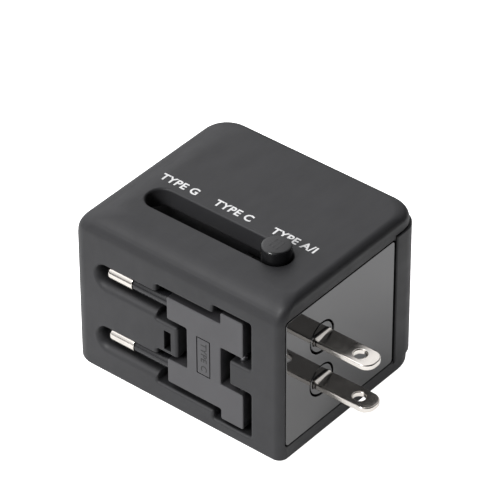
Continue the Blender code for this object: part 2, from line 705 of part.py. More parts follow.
def europlug(parent):
    outline = [(NOTCH_RIGHT, NOTCH_HALF), (CARRIER_LEFT, NOTCH_HALF), (CARRIER_LEFT, ARM_UP),
               (EAR_LEFT, ARM_UP), (EAR_LEFT, EAR_OUTER), (CARRIER_RIGHT, EAR_OUTER),
               (CARRIER_RIGHT, EAR_INNER), (EAR_LEFT, EAR_INNER), (EAR_LEFT, -EAR_INNER),
               (CARRIER_RIGHT, -EAR_INNER), (CARRIER_RIGHT, -EAR_OUTER), (EAR_LEFT, -EAR_OUTER),
               (EAR_LEFT, ARM_DOWN), (CARRIER_LEFT, ARM_DOWN), (CARRIER_LEFT, -NOTCH_HALF),
               (NOTCH_RIGHT, -NOTCH_HALF)]
    origin = (HINGE_X, HINGE_Y, EURO_Z)
    carrier = plate("europlug_carrier", [fillet(raised(outline), 0.5, 2)], -HALF_Y, CARRIER_BACK, "XZ",
                    SATIN_BLACK, parent, origin)
    cut(carrier, cylinder("carrier_hinge_bore", HINGE_RADIUS + 0.1, 40, (0, 0, 0), origin))
    for name, sign in (("upper", 1), ("lower", -1)):
        z = EURO_Z + sign * EURO_PIN_HALF_SPACING
        cut(carrier, cylinder("carrier_pin_bore_" + name, EURO_SLEEVE_RADIUS + 0.1, 8, (0, pi / 2, 0),
                              (EURO_TAIL - 3.4, HINGE_Y, z)))
        euro_pin(name, z, parent)


def euro_pin(name, z, parent):
    """A round pin with a bare tip and a sleeved root, pointing along -X at rest."""
    length = EURO_TAIL - EURO_TIP
    shoulder = EURO_TAIL - EURO_JUNCTION
    tip = [(0, length)]
    for i in range(ARC_STEPS + 1):
        a = pi / 2 * i / ARC_STEPS
        tip.append((EURO_PIN_RADIUS - EURO_TIP_ROUND * (1 - sin(a)), length - EURO_TIP_ROUND * (1 - cos(a))))
    profile = tip + [(EURO_PIN_RADIUS, shoulder), (EURO_CORE, shoulder - 0.01), (EURO_CORE, 0), (0, 0)]
    turned("euro_pin_" + name, profile, (0, -pi / 2, 0), (EURO_TAIL, HINGE_Y, z), NICKEL, parent)
    outlines = [circle(HINGE_Y, z, EURO_SLEEVE_RADIUS), circle(HINGE_Y, z, EURO_CORE + 0.15)]
    plate("euro_sleeve_" + name, outlines,
          EURO_JUNCTION + 0.15, -0.5, "YZ", SLEEVE_BLACK, parent)


def europlug_fixings():
    """The hinge pin, and the two contacts that reach through the recess floor to the plug's ears."""
    cylinder("europlug_hinge_pin", HINGE_RADIUS, 30.6, (0, 0, 0), (HINGE_X, HINGE_Y, EURO_Z), STEEL)
    strip_front, tab_tip = CAVITY_FRONT + GAP, RECESS_FLOOR - 0.3
    strip_back = strip_front + STRIP_THICKNESS
    tab = STRIP_THICKNESS / 2
    outline = [(8, strip_front), (HINGE_X - tab, strip_front), (HINGE_X - tab, tab_tip),
               (HINGE_X + tab, tab_tip), (HINGE_X + tab, strip_back), (8, strip_back)]
    for name, sign in (("upper", 1), ("lower", -1)):
        z = EURO_Z + sign * EURO_PIN_HALF_SPACING
        plate("europlug_contact_" + name, [outline], z - 1.5, z + 1.5, "XY", BRASS)


# ---------------------------------------------------------------- socket and power path

def socket_hole_outlines(side):
    """One line hole for rectangular, round and slanted pins. side is 1 or -1."""
    x = side * UK_PIN_SPACING / 2
    return [rectangle(x - 3.5, x + 3.5, LINE_Z - 2.2, LINE_Z + 2.2, 0.3, 2),
            circle(side * 9.5, LINE_Z, 2.6),
            rectangle(side * 6.35 - 0.95, side * 6.35 + 0.95, LINE_Z - 3.6, LINE_Z + 3.6, 0.3, 2)]


def socket_face():
    outline = rectangle(-SOCKET_HALF_X, SOCKET_HALF_X, SOCKET_LOW, SOCKET_HIGH, SOCKET_CORNER - GAP)
    face = plate("socket_face", [outline], HALF_Y - 1.75, HALF_Y - 0.15, "XZ", GLOSS_BLACK)
    front, back = HALF_Y - 3, HALF_Y + 1
    for side, name in ((-1, "left"), (1, "right")):
        for number, hole in enumerate(socket_hole_outlines(side), 1):
            cut(face, plate(f"socket_hole_{name}_{number}", [hole], front, back, "XZ"))
        slant = plate(f"socket_hole_{name}_4", [rectangle(-0.95, 0.95, -3.7, 3.7, 0.3, 2)], front, back, "XZ")
        slant.rotation_euler = (0, side * radians(30), 0)
        slant.location = Vector((side * 7.9, 0, LINE_Z + 2.0)) * MM
        cut(face, slant)
    cut(face, plate("socket_hole_earth", [rectangle(-2.3, 2.3, EARTH_Z - 4.3, EARTH_Z + 4.3, 0.3, 2)],
                    front, back, "XZ"))


def socket_core():
    """The insulator behind the face, with a chamber for each pin and room for the slider's arm."""
    back = HALF_Y - REAR_WALL + 0.2
    core = box("socket_core", (-17.5, 8.0, 7.2), (17.5, back, 40.0), INSIDE_BLACK)
    cut(core, box("arm_channel", (-20, 7, SLIDE_Z - ARM_HALF_Z - 0.4),
                  (20, ARM_BACK + 0.5, SLIDE_Z + ARM_HALF_Z + 0.4)),
        box("earth_chamber", (-2.5, 7, EARTH_Z - 4.5), (2.5, back + 1, EARTH_Z + 4.5)))
    for side in (-1, 1):
        inner, outer = sorted((side * 4.0, side * 15.6))
        cut(core, box(f"line_chamber_{side}", (inner, 7, LINE_Z - 4.2), (outer, back + 1, LINE_Z + 4.8)))


def socket_contacts():
    """Two clips that grip the plugged-in pins from above and below."""
    tip, root, leaf = 20.0, 8.2, 0.4
    reach = 2.6
    low, high = LINE_Z - reach, LINE_Z + reach
    outline = [(tip, high), (tip, high - leaf), (root + leaf, high - leaf), (root + leaf, low + leaf),
               (tip, low + leaf), (tip, low), (root, low), (root, high)]
    plate("live_socket_contact", [outline], -14.8, -8.0, "YZ", BRASS)
    plate("neutral_socket_contact", [outline], 8.0, 14.8, "YZ", BRASS)


def contact_rails():
    """The two strips that the slider's wipers run along, one for each pole."""
    back = RAIL_FRONT + STRIP_THICKNESS
    end, foot_in, foot_out, floor = 27.4, 18.0, 22.0, CAVITY_LOW + GAP
    live = [(-end, 12), (-end, 8), (-foot_out, 8), (-foot_out, floor), (-foot_in, floor), (-foot_in, 8),
            (foot_in, 8), (foot_in, floor), (foot_out, floor), (foot_out, 8), (end, 8), (end, 12)]
    neutral = [(-end, 35), (-end, 31), (foot_in, 31), (foot_in, 13.5), (foot_out, 13.5), (foot_out, 31),
               (end, 31), (end, 35)]
    plate("live_contact_rail", [live], RAIL_FRONT, back, "XZ", BRASS)
    plate("neutral_contact_rail", [neutral], RAIL_FRONT, back, "XZ", BRASS)


def fuse():
    """A 5 by 20 mm cartridge fuse in two clips."""
    turned("fuse_tube", [(0, 9.4), (2.15, 9.4), (2.15, -9.4), (0, -9.4)], (0, pi / 2, 0),
           (0, FUSE_Y, FUSE_Z), CERAMIC)
    cap = [(0, 10), (2.6, 10), (2.6, 5), (2.3, 5), (2.3, 9.6), (0, 9.6)]
    arm, inner, floor, top = 0.3, 2.8, CAVITY_LOW + GAP, FUSE_Z + 2.6
    clip = [(-inner - arm, top), (-inner - arm, floor), (inner + arm, floor), (inner + arm, top),
            (inner, top), (inner, floor + arm), (-inner, floor + arm), (-inner, top)]
    outline = [(u + FUSE_Y, v) for u, v in clip]
    for name, side in (("left", -1), ("right", 1)):
        turned("fuse_cap_" + name, cap, (0, side * pi / 2, 0), (0, FUSE_Y, FUSE_Z), STEEL)
        plate("fuse_clip_" + name, [outline], side * 7.5 - 1.8, side * 7.5 + 1.8, "YZ", BRASS)


# ---------------------------------------------------------------- assembly

for item in list(bpy.data.objects):
    bpy.data.objects.remove(item, do_unlink=True)

PARTS = collection("travel_adapter")
CUTTERS = collection("cutters")

front_housing()
rear_housing()
housing_screws()
side_panels()
socket_face()
socket_core()
socket_contacts()
contact_rails()
fuse()
europlug_fixings()

slide_axis = axis_empty("slide_axis", (SLOT_RIGHT, SLIDE_Y, SLIDE_Z))
slider_carriage(slide_axis)
carriage_cover(slide_axis)
uk_plug(slide_axis)
wipers(slide_axis)
knob_spring(slide_axis)
slider_knob(axis_empty("knob_axis", (SLOT_RIGHT, SLIDE_Y, CAVITY_HIGH), slide_axis))
for rotor, rise in (("upper", BLADE_SPACING / 2), ("lower", -BLADE_SPACING / 2)):
    height = SLIDE_Z + rise
    us_rotor(rotor, height, axis_empty("twist_axis_" + rotor, (COLLAR_FRONT, SLIDE_Y, height), slide_axis))

europlug(axis_empty("europlug_hinge_axis", (HINGE_X, HINGE_Y, EURO_Z)))
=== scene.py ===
"""Looks of the travel adapter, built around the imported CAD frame.

Lengths in this file are millimetres, turned into metres where a mesh is made.
Places come from the frame's boxes and joints. The constants give edge radii and details.
"""

import json
from math import cos, pi, radians, sin, sqrt, tan

import bmesh
import bpy
from mathutils import Matrix, Vector


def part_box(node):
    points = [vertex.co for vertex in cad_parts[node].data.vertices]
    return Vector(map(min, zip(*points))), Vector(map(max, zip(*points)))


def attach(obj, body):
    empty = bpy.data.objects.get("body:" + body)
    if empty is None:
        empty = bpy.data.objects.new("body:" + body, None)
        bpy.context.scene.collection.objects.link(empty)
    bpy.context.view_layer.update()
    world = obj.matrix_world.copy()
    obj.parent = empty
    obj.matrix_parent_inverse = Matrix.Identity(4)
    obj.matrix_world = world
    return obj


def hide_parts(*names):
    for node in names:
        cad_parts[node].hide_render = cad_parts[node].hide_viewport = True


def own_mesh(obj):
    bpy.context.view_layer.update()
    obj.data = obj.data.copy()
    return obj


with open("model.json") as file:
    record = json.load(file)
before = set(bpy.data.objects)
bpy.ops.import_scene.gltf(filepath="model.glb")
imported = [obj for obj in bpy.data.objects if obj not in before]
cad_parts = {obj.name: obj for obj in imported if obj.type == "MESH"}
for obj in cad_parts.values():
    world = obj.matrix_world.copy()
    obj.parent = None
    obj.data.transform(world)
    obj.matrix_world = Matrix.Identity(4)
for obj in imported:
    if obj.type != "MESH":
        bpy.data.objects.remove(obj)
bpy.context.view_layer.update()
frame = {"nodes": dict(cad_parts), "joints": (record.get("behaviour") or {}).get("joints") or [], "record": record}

MM = 0.001
JOINTS = {joint["name"]: joint for joint in frame["joints"]}

# Edge radii and wall thicknesses of the shell
TOP_RADII = {"left": 8.5, "right": 2.2, "front": 6.5, "back": 4.0}
LEFT_SPREAD = 1.4
BOTTOM_RADIUS = 2.0
CORNER_RADII = [2.4, 6.8, 5.0, 4.0]
REAR_CORNER_RADII = [0.4, 6.1, 5.0, 0.4]
WALL_SIDE, WALL_TOP, WALL_BOTTOM, WALL_FRONT = 3.6, 5.0, 4.3, 8.45
REAR_OPENING_TOP = 42.9
SLOT_CLEARANCE, SLOT_RIM = 0.15, 0.6
RECESS_RIM, TROUGH_RIM = 0.8, {"up": 0.25, "down": 2.1, "left": 1.1}
EDGE_STEPS = 10
SHELL_GAP = 0.3
POST_PROUD = 1.4
REAR_SEAM, REAR_INSET, REAR_FRAME, REAR_WALL = 0.25, 0.2, 2.3, 2.25

# Light: the floor's glow for the object and for the camera, and how far in metres the first one reaches
FLOOR_GLOW, FLOOR_SEEN, FLOOR_REACH, FLOOR_FADE = 0.24, 1.0, 0.15, 0.05
# The cosines where a sky glow ends and peaks, and the heights between which the sky fades in
GLOW_EDGE, GLOW_CORE = 0.6, 0.9
HORIZON = (-0.05, 0.1)
# Each glow's direction and brightness, and the small light's direction, distance, size and watts
GLOWS = [((-0.9, 0.0, 0.5), 1.3), ((-0.3, -0.7, 0.65), 0.86), ((0.0, 0.85, 0.5), 0.25),
         ((-0.5, 0.6, 0.65), 0.5)]
FRONT_LIGHT = ((-0.12, -0.8, 0.58), 1.0, 0.22, 6.0)


# ---------------------------------------------------------------- measures from the frame

def span(node):
    """The low and high corners of a CAD node, in millimetres."""
    low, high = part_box(node)
    return low / MM, high / MM


def middle(node):
    low, high = span(node)
    return (low + high) / 2


BODY_LOW, BODY_HIGH = span("front_housing")
KNOB_LOW, KNOB_HIGH = span("slider_knob")
KNOB_AT = middle("slider_knob")
TRAVEL = -JOINTS["slider_travel"]["range_m"][0] / MM
CARRIER_LOW, CARRIER_HIGH = span("europlug_carrier")
EURO_Z = (CARRIER_LOW.z + CARRIER_HIGH.z) / 2
PIN_Y = middle("euro_pin_upper").y
PIN_RISE = middle("euro_pin_upper").z - EURO_Z
HINGE = Vector(JOINTS["europlug_swing"]["pos_m"]) / MM
PANEL_LOW, PANEL_HIGH = span("us_side_panel")
UK_PANEL_LOW, UK_PANEL_HIGH = span("uk_side_panel")
REAR_LOW, REAR_HIGH = span("rear_housing")
REAR_START = REAR_LOW.y + POST_PROUD
FACE_LOW, FACE_HIGH = span("socket_face")
LINE_Z = middle("live_socket_contact").z
HINGE_RADIUS = (span("europlug_hinge_pin")[1].x - span("europlug_hinge_pin")[0].x) / 2
SLEEVE_RADIUS = (span("euro_sleeve_upper")[1].z - span("euro_sleeve_upper")[0].z) / 2

# Details that the boxes don't give
KNOB_RADIUS = 3.7
RECESS_FLOOR = CARRIER_HIGH.y + 1.0
RECESS_LEFT, RECESS_STEP, RECESS_RIGHT = CARRIER_LOW.x - 3.44, 11.3, CARRIER_HIGH.x + 2.23
RECESS_UP, RECESS_DOWN, RECESS_EAR_UP, RECESS_EAR_DOWN = 14.4, -14.85, 16.75, -17.1
BLOCK_RIGHT, BLOCK_UP, BLOCK_DOWN = CARRIER_LOW.x + 3.01, 4.3, -4.75
TONGUE_LEFT, TONGUE_UP, TONGUE_DOWN = HINGE.x - 2.35, 3.05, -4.1
TROUGH_RADIUS, TROUGH_LEFT = 2.95, -24.2
RIB_LOW, RIB_BACK = (-5.7, 36.2), -4.7
LATCH_LOW, LATCH_HIGH, LATCH_DEPTH = (-3.5, 17.7), (-1.4, 23.3), 2.0
HINGE_BORE_HALF, CONTACT_SLOT_X, CONTACT_SLOT_Z = 5.0, 0.6, 1.9
PANEL_GAP, PANEL_BACK_GAP, POCKET_DEPTH = 0.25, 0.4, 2.1
LEDGE_LOW, LEDGE_BACK, LEDGE_TOP = 1.8, 2.05, 1.0
BOSS_HALF, BOSS_FRONT, BOSS_BACK = 2.9, 6.0, 14.9
BORE_RADIUS, BORE_FRONT, PASSAGE_RADIUS = 1.4, 7.85, 1.6
COUNTERBORE_RADIUS, COUNTERBORE_DEPTH = 2.6, 2.4
TURN_GAP = 0.1
RIDGE_STEP, RIDGE_HALF_X, RIDGE_HALF_Y = 1.05, 0.2, 1.5
COLLAR_HOLE, BLADE_GAP = 4.45, 0.15
UK_HOLE_GROWTH = 0.6
BLADE_TIP_RADIUS, BLADE_HOLE_X, BLADE_HOLE_RADIUS = 2.7, 43.05, 1.6
EAR_LEFT, EAR_INNER, NOTCH_RIGHT, NOTCH_HALF = 13.7, 5.55, 3.42, 6.02
ARM_UP, ARM_DOWN = 12.49, -12.95
LABEL_LEFT, LABEL_RIGHT, LABEL_LOW, LABEL_HIGH = 6.6, 10.5, 15.85, 26.5
PIN_CORE = 1.2
FACE_CORNER = 3.7
LINE_X = 11.11
EARTH_Z = LINE_Z + 2 * LINE_X
EARTH_HALF, SQUARE_HALF, FLAT_HALF, SLANTED_HALF = (2.3, 4.3), (3.5, 2.2), (0.95, 3.6), (0.95, 3.7)
ROUND_X, ROUND_RADIUS, FLAT_X, SLANTED_X, SLANTED_RISE = 9.5, 2.6, 6.35, 7.9, 2.0
SCREW_SHANK = 1.2
PRINT_Y, PRINT_HEIGHT, PRINT_BOLD = -4.2, 2.3, 0.09
PRINTS = {"TYPE G": -16.6, "TYPE C": -0.2, "TYPE A/I": 18.0}


# ---------------------------------------------------------------- outlines

def fillet(points, radii, steps=6):
    """A polygon with rounded corners. radii is one value, or one for each corner."""
    radii = radii if isinstance(radii, (list, tuple)) else [radii] * len(points)
    outline = []
    for i, corner in enumerate(points):
        corner = Vector(corner)
        before = (Vector(points[i - 1]) - corner).normalized()
        after = (Vector(points[(i + 1) % len(points)]) - corner).normalized()
        half = before.angle(after) / 2
        centre = corner + (before + after).normalized() * (radii[i] / sin(half))
        start = corner + before * (radii[i] / tan(half)) - centre
        sweep = -start.angle_signed(corner + after * (radii[i] / tan(half)) - centre)
        for k in range(steps + 1):
            a = sweep * k / steps
            outline.append((centre.x + start.x * cos(a) - start.y * sin(a),
                            centre.y + start.x * sin(a) + start.y * cos(a)))
    return outline


def turn_at(points, i):
    """Positive where a counter-clockwise polygon turns outwards round a corner."""
    a, b, c = (Vector(points[(i + k) % len(points)]) for k in (-1, 0, 1))
    return (b - a).cross(c - b)


def grown(points, amount, radius, steps=6):
    """A counter-clockwise right-angled polygon moved out by an amount, with its corners rounded."""
    moved, radii = [], []
    for i, corner in enumerate(points):
        corner = Vector(corner)
        along = (corner - Vector(points[i - 1])).normalized()
        ahead = (Vector(points[(i + 1) % len(points)]) - corner).normalized()
        moved.append(corner + amount * (Vector((along.y, -along.x)) + Vector((ahead.y, -ahead.x))))
        radii.append(radius + amount if turn_at(points, i) > 0 else max(radius - amount, 0.05))
    return fillet(moved, radii, steps)


def rectangle(u0, u1, v0, v1):
    return [(u1, v0), (u1, v1), (u0, v1), (u0, v0)]


def circle(u, v, radius, steps=64):
    return [(u + radius * cos(2 * pi * i / steps), v + radius * sin(2 * pi * i / steps))
            for i in range(steps)]


def stadium(u0, u1, v, radius, steps=24):
    right = [(u1 + radius * sin(pi * i / steps), v - radius * cos(pi * i / steps))
             for i in range(steps + 1)]
    left = [(u0 - radius * sin(pi * i / steps), v + radius * cos(pi * i / steps))
            for i in range(steps + 1)]
    return right + left


def edge_inset(radius, depth):
    """How far a quarter-round edge has turned in, at a depth below its crest."""
    return 0.0 if depth >= radius else radius - sqrt(radius ** 2 - (radius - depth) ** 2)


def rim_steps(radius, steps=6):
    """(depth, growth) pairs down a rounded rim, from just above the surface."""
    pairs = [(-1.0, radius + 1.0)]
    for i in range(steps + 1):
        depth = radius * (1 - cos(pi / 2 * i / steps))
        pairs.append((depth, edge_inset(radius, depth)))
    return pairs


# ---------------------------------------------------------------- meshes

def add(name, mesh):
    made = bpy.data.objects.new(name, mesh)
    bpy.context.scene.collection.objects.link(made)
    return made


def loft(name, rings):
    """A closed solid through rings that have the same number of points."""
    form = bmesh.new()
    loops = [[form.verts.new(Vector(point) * MM) for point in ring] for ring in rings]
    count = len(rings[0])
    for lower, upper in zip(loops, loops[1:]):
        for i in range(count):
            j = (i + 1) % count
            form.faces.new((lower[i], lower[j], upper[j], upper[i]))
    form.faces.new(loops[-1])
    form.faces.new(reversed(loops[0]))
    bmesh.ops.recalc_face_normals(form, faces=form.faces)
    mesh = bpy.data.meshes.new(name)
    form.to_mesh(mesh)
    form.free()
    return add(name, mesh)


def box(name, low, high):
    form = bmesh.new()
    low, high = Vector(low) * MM, Vector(high) * MM
    size = Matrix.Diagonal((high - low).to_4d())
    size[3][3] = 1.0
    bmesh.ops.create_cube(form, size=1.0, matrix=Matrix.Translation((low + high) / 2) @ size)
    mesh = bpy.data.meshes.new(name)
    form.to_mesh(mesh)
    form.free()
    return add(name, mesh)


def sunk(name, shape, rim, depth, place):
    """A cutter for a pocket with a rounded rim.

    shape gives the outline grown by an amount, and place turns (u, v, depth) into a point.
    """
    steps = rim_steps(rim) + [(depth, 0.0)]
    return loft(name, [[place(u, v, down) for u, v in shape(growth)] for down, growth in steps])


def from_front(u, v, depth):
    return (u, BODY_LOW.y + depth, v)


def from_back(u, v, depth):
    return (u, BODY_HIGH.y - depth, v)


def from_top(u, v, depth):
    return (u, v, BODY_HIGH.z - depth)


def evaluated_mesh(item):
    bpy.context.view_layer.update()
    graph = bpy.context.evaluated_depsgraph_get()
    return bpy.data.meshes.new_from_object(item.evaluated_get(graph), depsgraph=graph)


PLANES = {"XY": Matrix(),
          "XZ": Matrix.Rotation(pi / 2, 4, "X"),
          "YZ": Matrix.Rotation(pi / 2, 4, "Z") @ Matrix.Rotation(pi / 2, 4, "X")}


def slab(name, outlines, low, high, plane, rounding=0.0, segments=3):
    """A thick plate from a counter-clockwise outline and any holes, its rims rounded all round."""
    curve = bpy.data.curves.new(name, "CURVE")
    curve.dimensions = "2D"
    curve.fill_mode = "BOTH"
    curve.extrude = ((high - low) / 2 - rounding) * MM
    curve.bevel_depth = rounding * MM
    curve.bevel_resolution = segments
    curve.offset = -rounding * MM
    for number, outline in enumerate(outlines):
        spline = curve.splines.new("POLY")
        spline.points.add(len(outline) - 1)
        for point, (u, v) in zip(spline.points, reversed(outline) if number else outline):
            point.co = (u * MM, v * MM, 0.0, 1.0)
        spline.use_cyclic_u = True
    holder = add(name + "_outline", curve)
    mesh = evaluated_mesh(holder)
    bpy.data.objects.remove(holder)
    form = bmesh.new()
    form.from_mesh(mesh)
    bmesh.ops.remove_doubles(form, verts=form.verts, dist=1e-7)
    form.transform(PLANES[plane])
    axis = {"XY": (0, 0, 1), "XZ": (0, 1, 0), "YZ": (1, 0, 0)}[plane]
    form.transform(Matrix.Translation(Vector(axis) * (high + low) / 2 * MM))
    bmesh.ops.recalc_face_normals(form, faces=form.faces)
    form.to_mesh(mesh)
    form.free()
    mesh.name = name
    mesh.materials.clear()
    return add(name, mesh)


def turned(name, profile, axis, at, steps=64):
    """A profile of (radius, distance along the axis) points, turned about an axis through a point."""
    mesh = bpy.data.meshes.new(name)
    mesh.from_pydata([(radius * MM, 0, along * MM) for radius, along in profile],
                     [(i, i + 1) for i in range(len(profile) - 1)], [])
    holder = add(name + "_profile", mesh)
    screw = holder.modifiers.new("turn", "SCREW")
    screw.steps = screw.render_steps = steps
    screw.use_merge_vertices = True
    screw.merge_threshold = 1e-7
    solid = evaluated_mesh(holder)
    bpy.data.objects.remove(holder)
    form = bmesh.new()
    form.from_mesh(solid)
    rotation = Vector((0, 0, 1)).rotation_difference(Vector(axis)).to_matrix().to_4x4()
    form.transform(Matrix.Translation(Vector(at) * MM) @ rotation)
    bmesh.ops.recalc_face_normals(form, faces=form.faces)
    form.to_mesh(solid)
    form.free()
    solid.name = name
    return add(name, solid)


def combine(target, tools, operation):
    for tool in tools:
        step = target.modifiers.new(tool.name, "BOOLEAN")
        step.operation = operation
        step.object = tool
        step.solver = "EXACT"
    mesh = evaluated_mesh(target)
    target.modifiers.clear()
    target.data = mesh
    for tool in tools:
        bpy.data.objects.remove(tool)
    return target


def cut(target, *tools):
    return combine(target, tools, "DIFFERENCE")


def smooth(item, angle=32):
    """Smooth shading with edges sharper than the angle kept, and flat faces kept flat."""
    form = bmesh.new()
    form.from_mesh(item.data)
    bmesh.ops.dissolve_limit(form, angle_limit=radians(0.05), verts=form.verts, edges=form.edges)
    for face in form.faces:
        face.smooth = True
    for edge in form.edges:
        edge.smooth = len(edge.link_faces) == 2 and edge.calc_face_angle(0) < radians(angle)
    form.to_mesh(item.data)
    form.free()
    weights = item.modifiers.new("weighted normals", "WEIGHTED_NORMAL")
    weights.keep_sharp = True
    return item


def text(name, words, height, place, turn, raised=0.05, bold=0.035):
    """Flat lettering, centred on a place."""
    curve = bpy.data.curves.new(name, "FONT")
    curve.body = words
    curve.align_x = curve.align_y = "CENTER"
    curve.size = height * MM / 0.7
    curve.space_character = 1.08
    curve.offset = bold * MM
    curve.extrude = raised * MM
    holder = add(name + "_font", curve)
    mesh = evaluated_mesh(holder)
    bpy.data.objects.remove(holder)
    mesh.transform(Matrix.Translation(Vector(place) * MM) @ turn)
    mesh.name = name
    mesh.materials.clear()
    return add(name, mesh)


def finish(item, body, material, slot, *nodes):
    """Gives a piece its material and its body, and hides the CAD nodes that it stands for."""
    item.data.materials.clear()
    item.data.materials.append(material)
    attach(item, body)
    if nodes:
        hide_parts(*nodes)
    return item


# ---------------------------------------------------------------- materials

class Tree:
    """A material's node tree, with its Principled shader and the object's own coordinates in metres."""

    def __init__(self, name):
        self.material = bpy.data.materials.new(name)
        self.material.use_nodes = True
        self.nodes = self.material.node_tree.nodes
        self.links = self.material.node_tree.links
        self.shader = self.nodes["Principled BSDF"]
        self.place = self.nodes.new("ShaderNodeTexCoord").outputs["Object"]

    def node(self, kind, inputs=None, **settings):
        made = self.nodes.new(kind)
        for key, value in settings.items():
            setattr(made, key, value)
        for key, value in (inputs or {}).items():
            self.feed(made.inputs[key], value)
        return made

    def feed(self, socket, value):
        if isinstance(value, bpy.types.NodeSocket):
            self.links.new(value, socket)
        else:
            socket.default_value = value

    def surface(self, **inputs):
        for key, value in inputs.items():
            self.feed(self.shader.inputs[key.replace("_", " ")], value)

    def noise(self, scale, detail=3.0, roughness=0.55, stretch=None):
        place = self.place
        if stretch:
            place = self.node("ShaderNodeMapping", {"Vector": self.place, "Scale": stretch}).outputs[0]
        return self.node("ShaderNodeTexNoise", {"Vector": place, "Scale": scale, "Detail": detail,
                                                "Roughness": roughness}).outputs["Fac"]

    def ramp(self, value, low, high, from_low=0.3, from_high=0.7):
        return self.node("ShaderNodeMapRange", {"Value": value, "From Min": from_low, "From Max": from_high,
                                                "To Min": low, "To Max": high}).outputs[0]

    def mix(self, factor, first, second):
        made = self.node("ShaderNodeMix", data_type="RGBA")
        self.feed(made.inputs[0], factor)
        self.feed(made.inputs[6], first)
        self.feed(made.inputs[7], second)
        return made.outputs[2]

    def edges(self, radius):
        """Normals rounded over edges, and a mask that is 1 on the edges."""
        rounded = self.node("ShaderNodeBevel", {"Radius": radius * MM}, samples=6).outputs[0]
        flat = self.node("ShaderNodeNewGeometry").outputs["Normal"]
        facing = self.node("ShaderNodeVectorMath", {0: rounded, 1: flat}, operation="DOT_PRODUCT")
        return rounded, self.ramp(facing.outputs["Value"], 1.0, 0.0, 0.75, 0.995)

    def painted_gap_shade(self, reach, closed):
        """How open a spot is, for painted shade: 1 on a free face, down to closed deep inside a gap."""
        seen = self.node("ShaderNodeAmbientOcclusion", {"Distance": reach * MM}, samples=8).outputs["AO"]
        return self.ramp(seen, closed, 1.0, 0.25, 0.8)

    def bump(self, height, distance, strength, normal):
        return self.node("ShaderNodeBump", {"Height": height, "Distance": distance * MM,
                                            "Strength": strength, "Normal": normal}).outputs[0]


def shade(color, factor):
    return (*(min(1.0, channel * factor) for channel in color), 1.0)


def plastic(name, color, roughness, grain=0.15, grain_depth=0.012, sheen=0.0, coat=0.0, edge=0.25,
            specular=0.5, edge_highlight_and_wear=1.35, reach=3.5, closed=0.12):
    """Moulded plastic: fine grain, faint clouding, handling smears, edges painted slightly lighter as a painted
    highlight with some wear, and painted shade that darkens colour and specular deep in gaps.
    """
    tree = Tree(name)
    normal, on_edge = tree.edges(edge)
    clouds = tree.noise(70, 4)
    smears = tree.noise(240, 5, 0.6, (1, 0.35, 0.7))
    body = tree.mix(tree.ramp(clouds, 0.0, 1.0), shade(color, 0.93), shade(color, 1.07))
    # painted shade: base colour and specular fade to black deep inside gaps and crevices, from ambient occlusion
    free = tree.painted_gap_shade(reach, closed)
    # edges painted lighter: partly a painted edge highlight, partly rubbed wear
    lit = tree.mix(on_edge, body, shade(color, edge_highlight_and_wear))
    tree.surface(Base_Color=tree.mix(free, (0.0, 0.0, 0.0, 1.0), lit),
                 Roughness=tree.ramp(smears, roughness * 0.9, roughness * 1.1),
                 Specular_IOR_Level=tree.node("ShaderNodeMath", {0: free, 1: specular},
                                              operation="MULTIPLY").outputs[0],
                 Normal=tree.bump(tree.noise(1 / (grain * MM), 2), grain_depth, 0.6, normal))
    if sheen:
        tree.surface(Sheen_Weight=sheen, Sheen_Roughness=0.5)
    if coat:
        tree.surface(Coat_Weight=coat, Coat_Roughness=0.03)
    return tree.material


def gloss(name, color, ior=2.0):
    """Polished black plastic with hairline scratches, a little dust and a faint waviness."""
    tree = Tree(name)
    normal, _ = tree.edges(0.15)
    hairlines = tree.noise(900, 2, 0.5, (1, 0.04, 1))
    dust = tree.noise(2600, 1)
    speck = tree.ramp(dust, 0.0, 1.0, 0.74, 0.80)
    waves = tree.noise(45, 1)
    tree.surface(Base_Color=tree.mix(speck, shade(color, 1.0), (0.10, 0.10, 0.10, 1.0)),
                 Roughness=tree.ramp(hairlines, 0.035, 0.075), IOR=ior,
                 Normal=tree.bump(waves, 0.004, 0.5, normal))
    return tree.material


def metal(name, color, roughness, along, tarnish=0.9):
    """Plated or stamped metal with drawing lines along one axis and cloudy handling marks."""
    tree = Tree(name)
    normal, on_edge = tree.edges(0.12)
    stretch = tuple(0.05 if axis == along else 1.0 for axis in "XYZ")
    lines = tree.noise(2200, 3, 0.6, stretch)
    clouds = tree.noise(260, 4)
    base = tree.mix(tree.ramp(clouds, 0.0, 1.0), shade(color, tarnish), shade(color, 1.04))
    tree.surface(Base_Color=tree.mix(on_edge, base, shade(color, 1.12)), Metallic=1.0,
                 Roughness=tree.ramp(clouds, roughness * 0.8, roughness * 1.35),
                 Normal=tree.bump(lines, 0.003, 0.5, normal))
    return tree.material


def print_ink(name, color):
    """Pad-printed ink with slightly uneven cover."""
    tree = Tree(name)
    cover = tree.noise(1500, 3)
    tree.surface(Base_Color=tree.mix(tree.ramp(cover, 0.0, 1.0), shade(color, 0.88), shade(color, 1.0)),
                 Roughness=tree.ramp(cover, 0.45, 0.6),
                 Normal=tree.bump(cover, 0.004, 0.4, tree.node("ShaderNodeNewGeometry").outputs["Normal"]))
    return tree.material


def ceramic(name, color):
    tree = Tree(name)
    fired = tree.noise(400, 4)
    tree.surface(Base_Color=tree.mix(tree.ramp(fired, 0.0, 1.0), shade(color, 0.94), shade(color, 1.0)),
                 Roughness=tree.ramp(fired, 0.22, 0.34), Coat_Weight=0.3)
    return tree.material


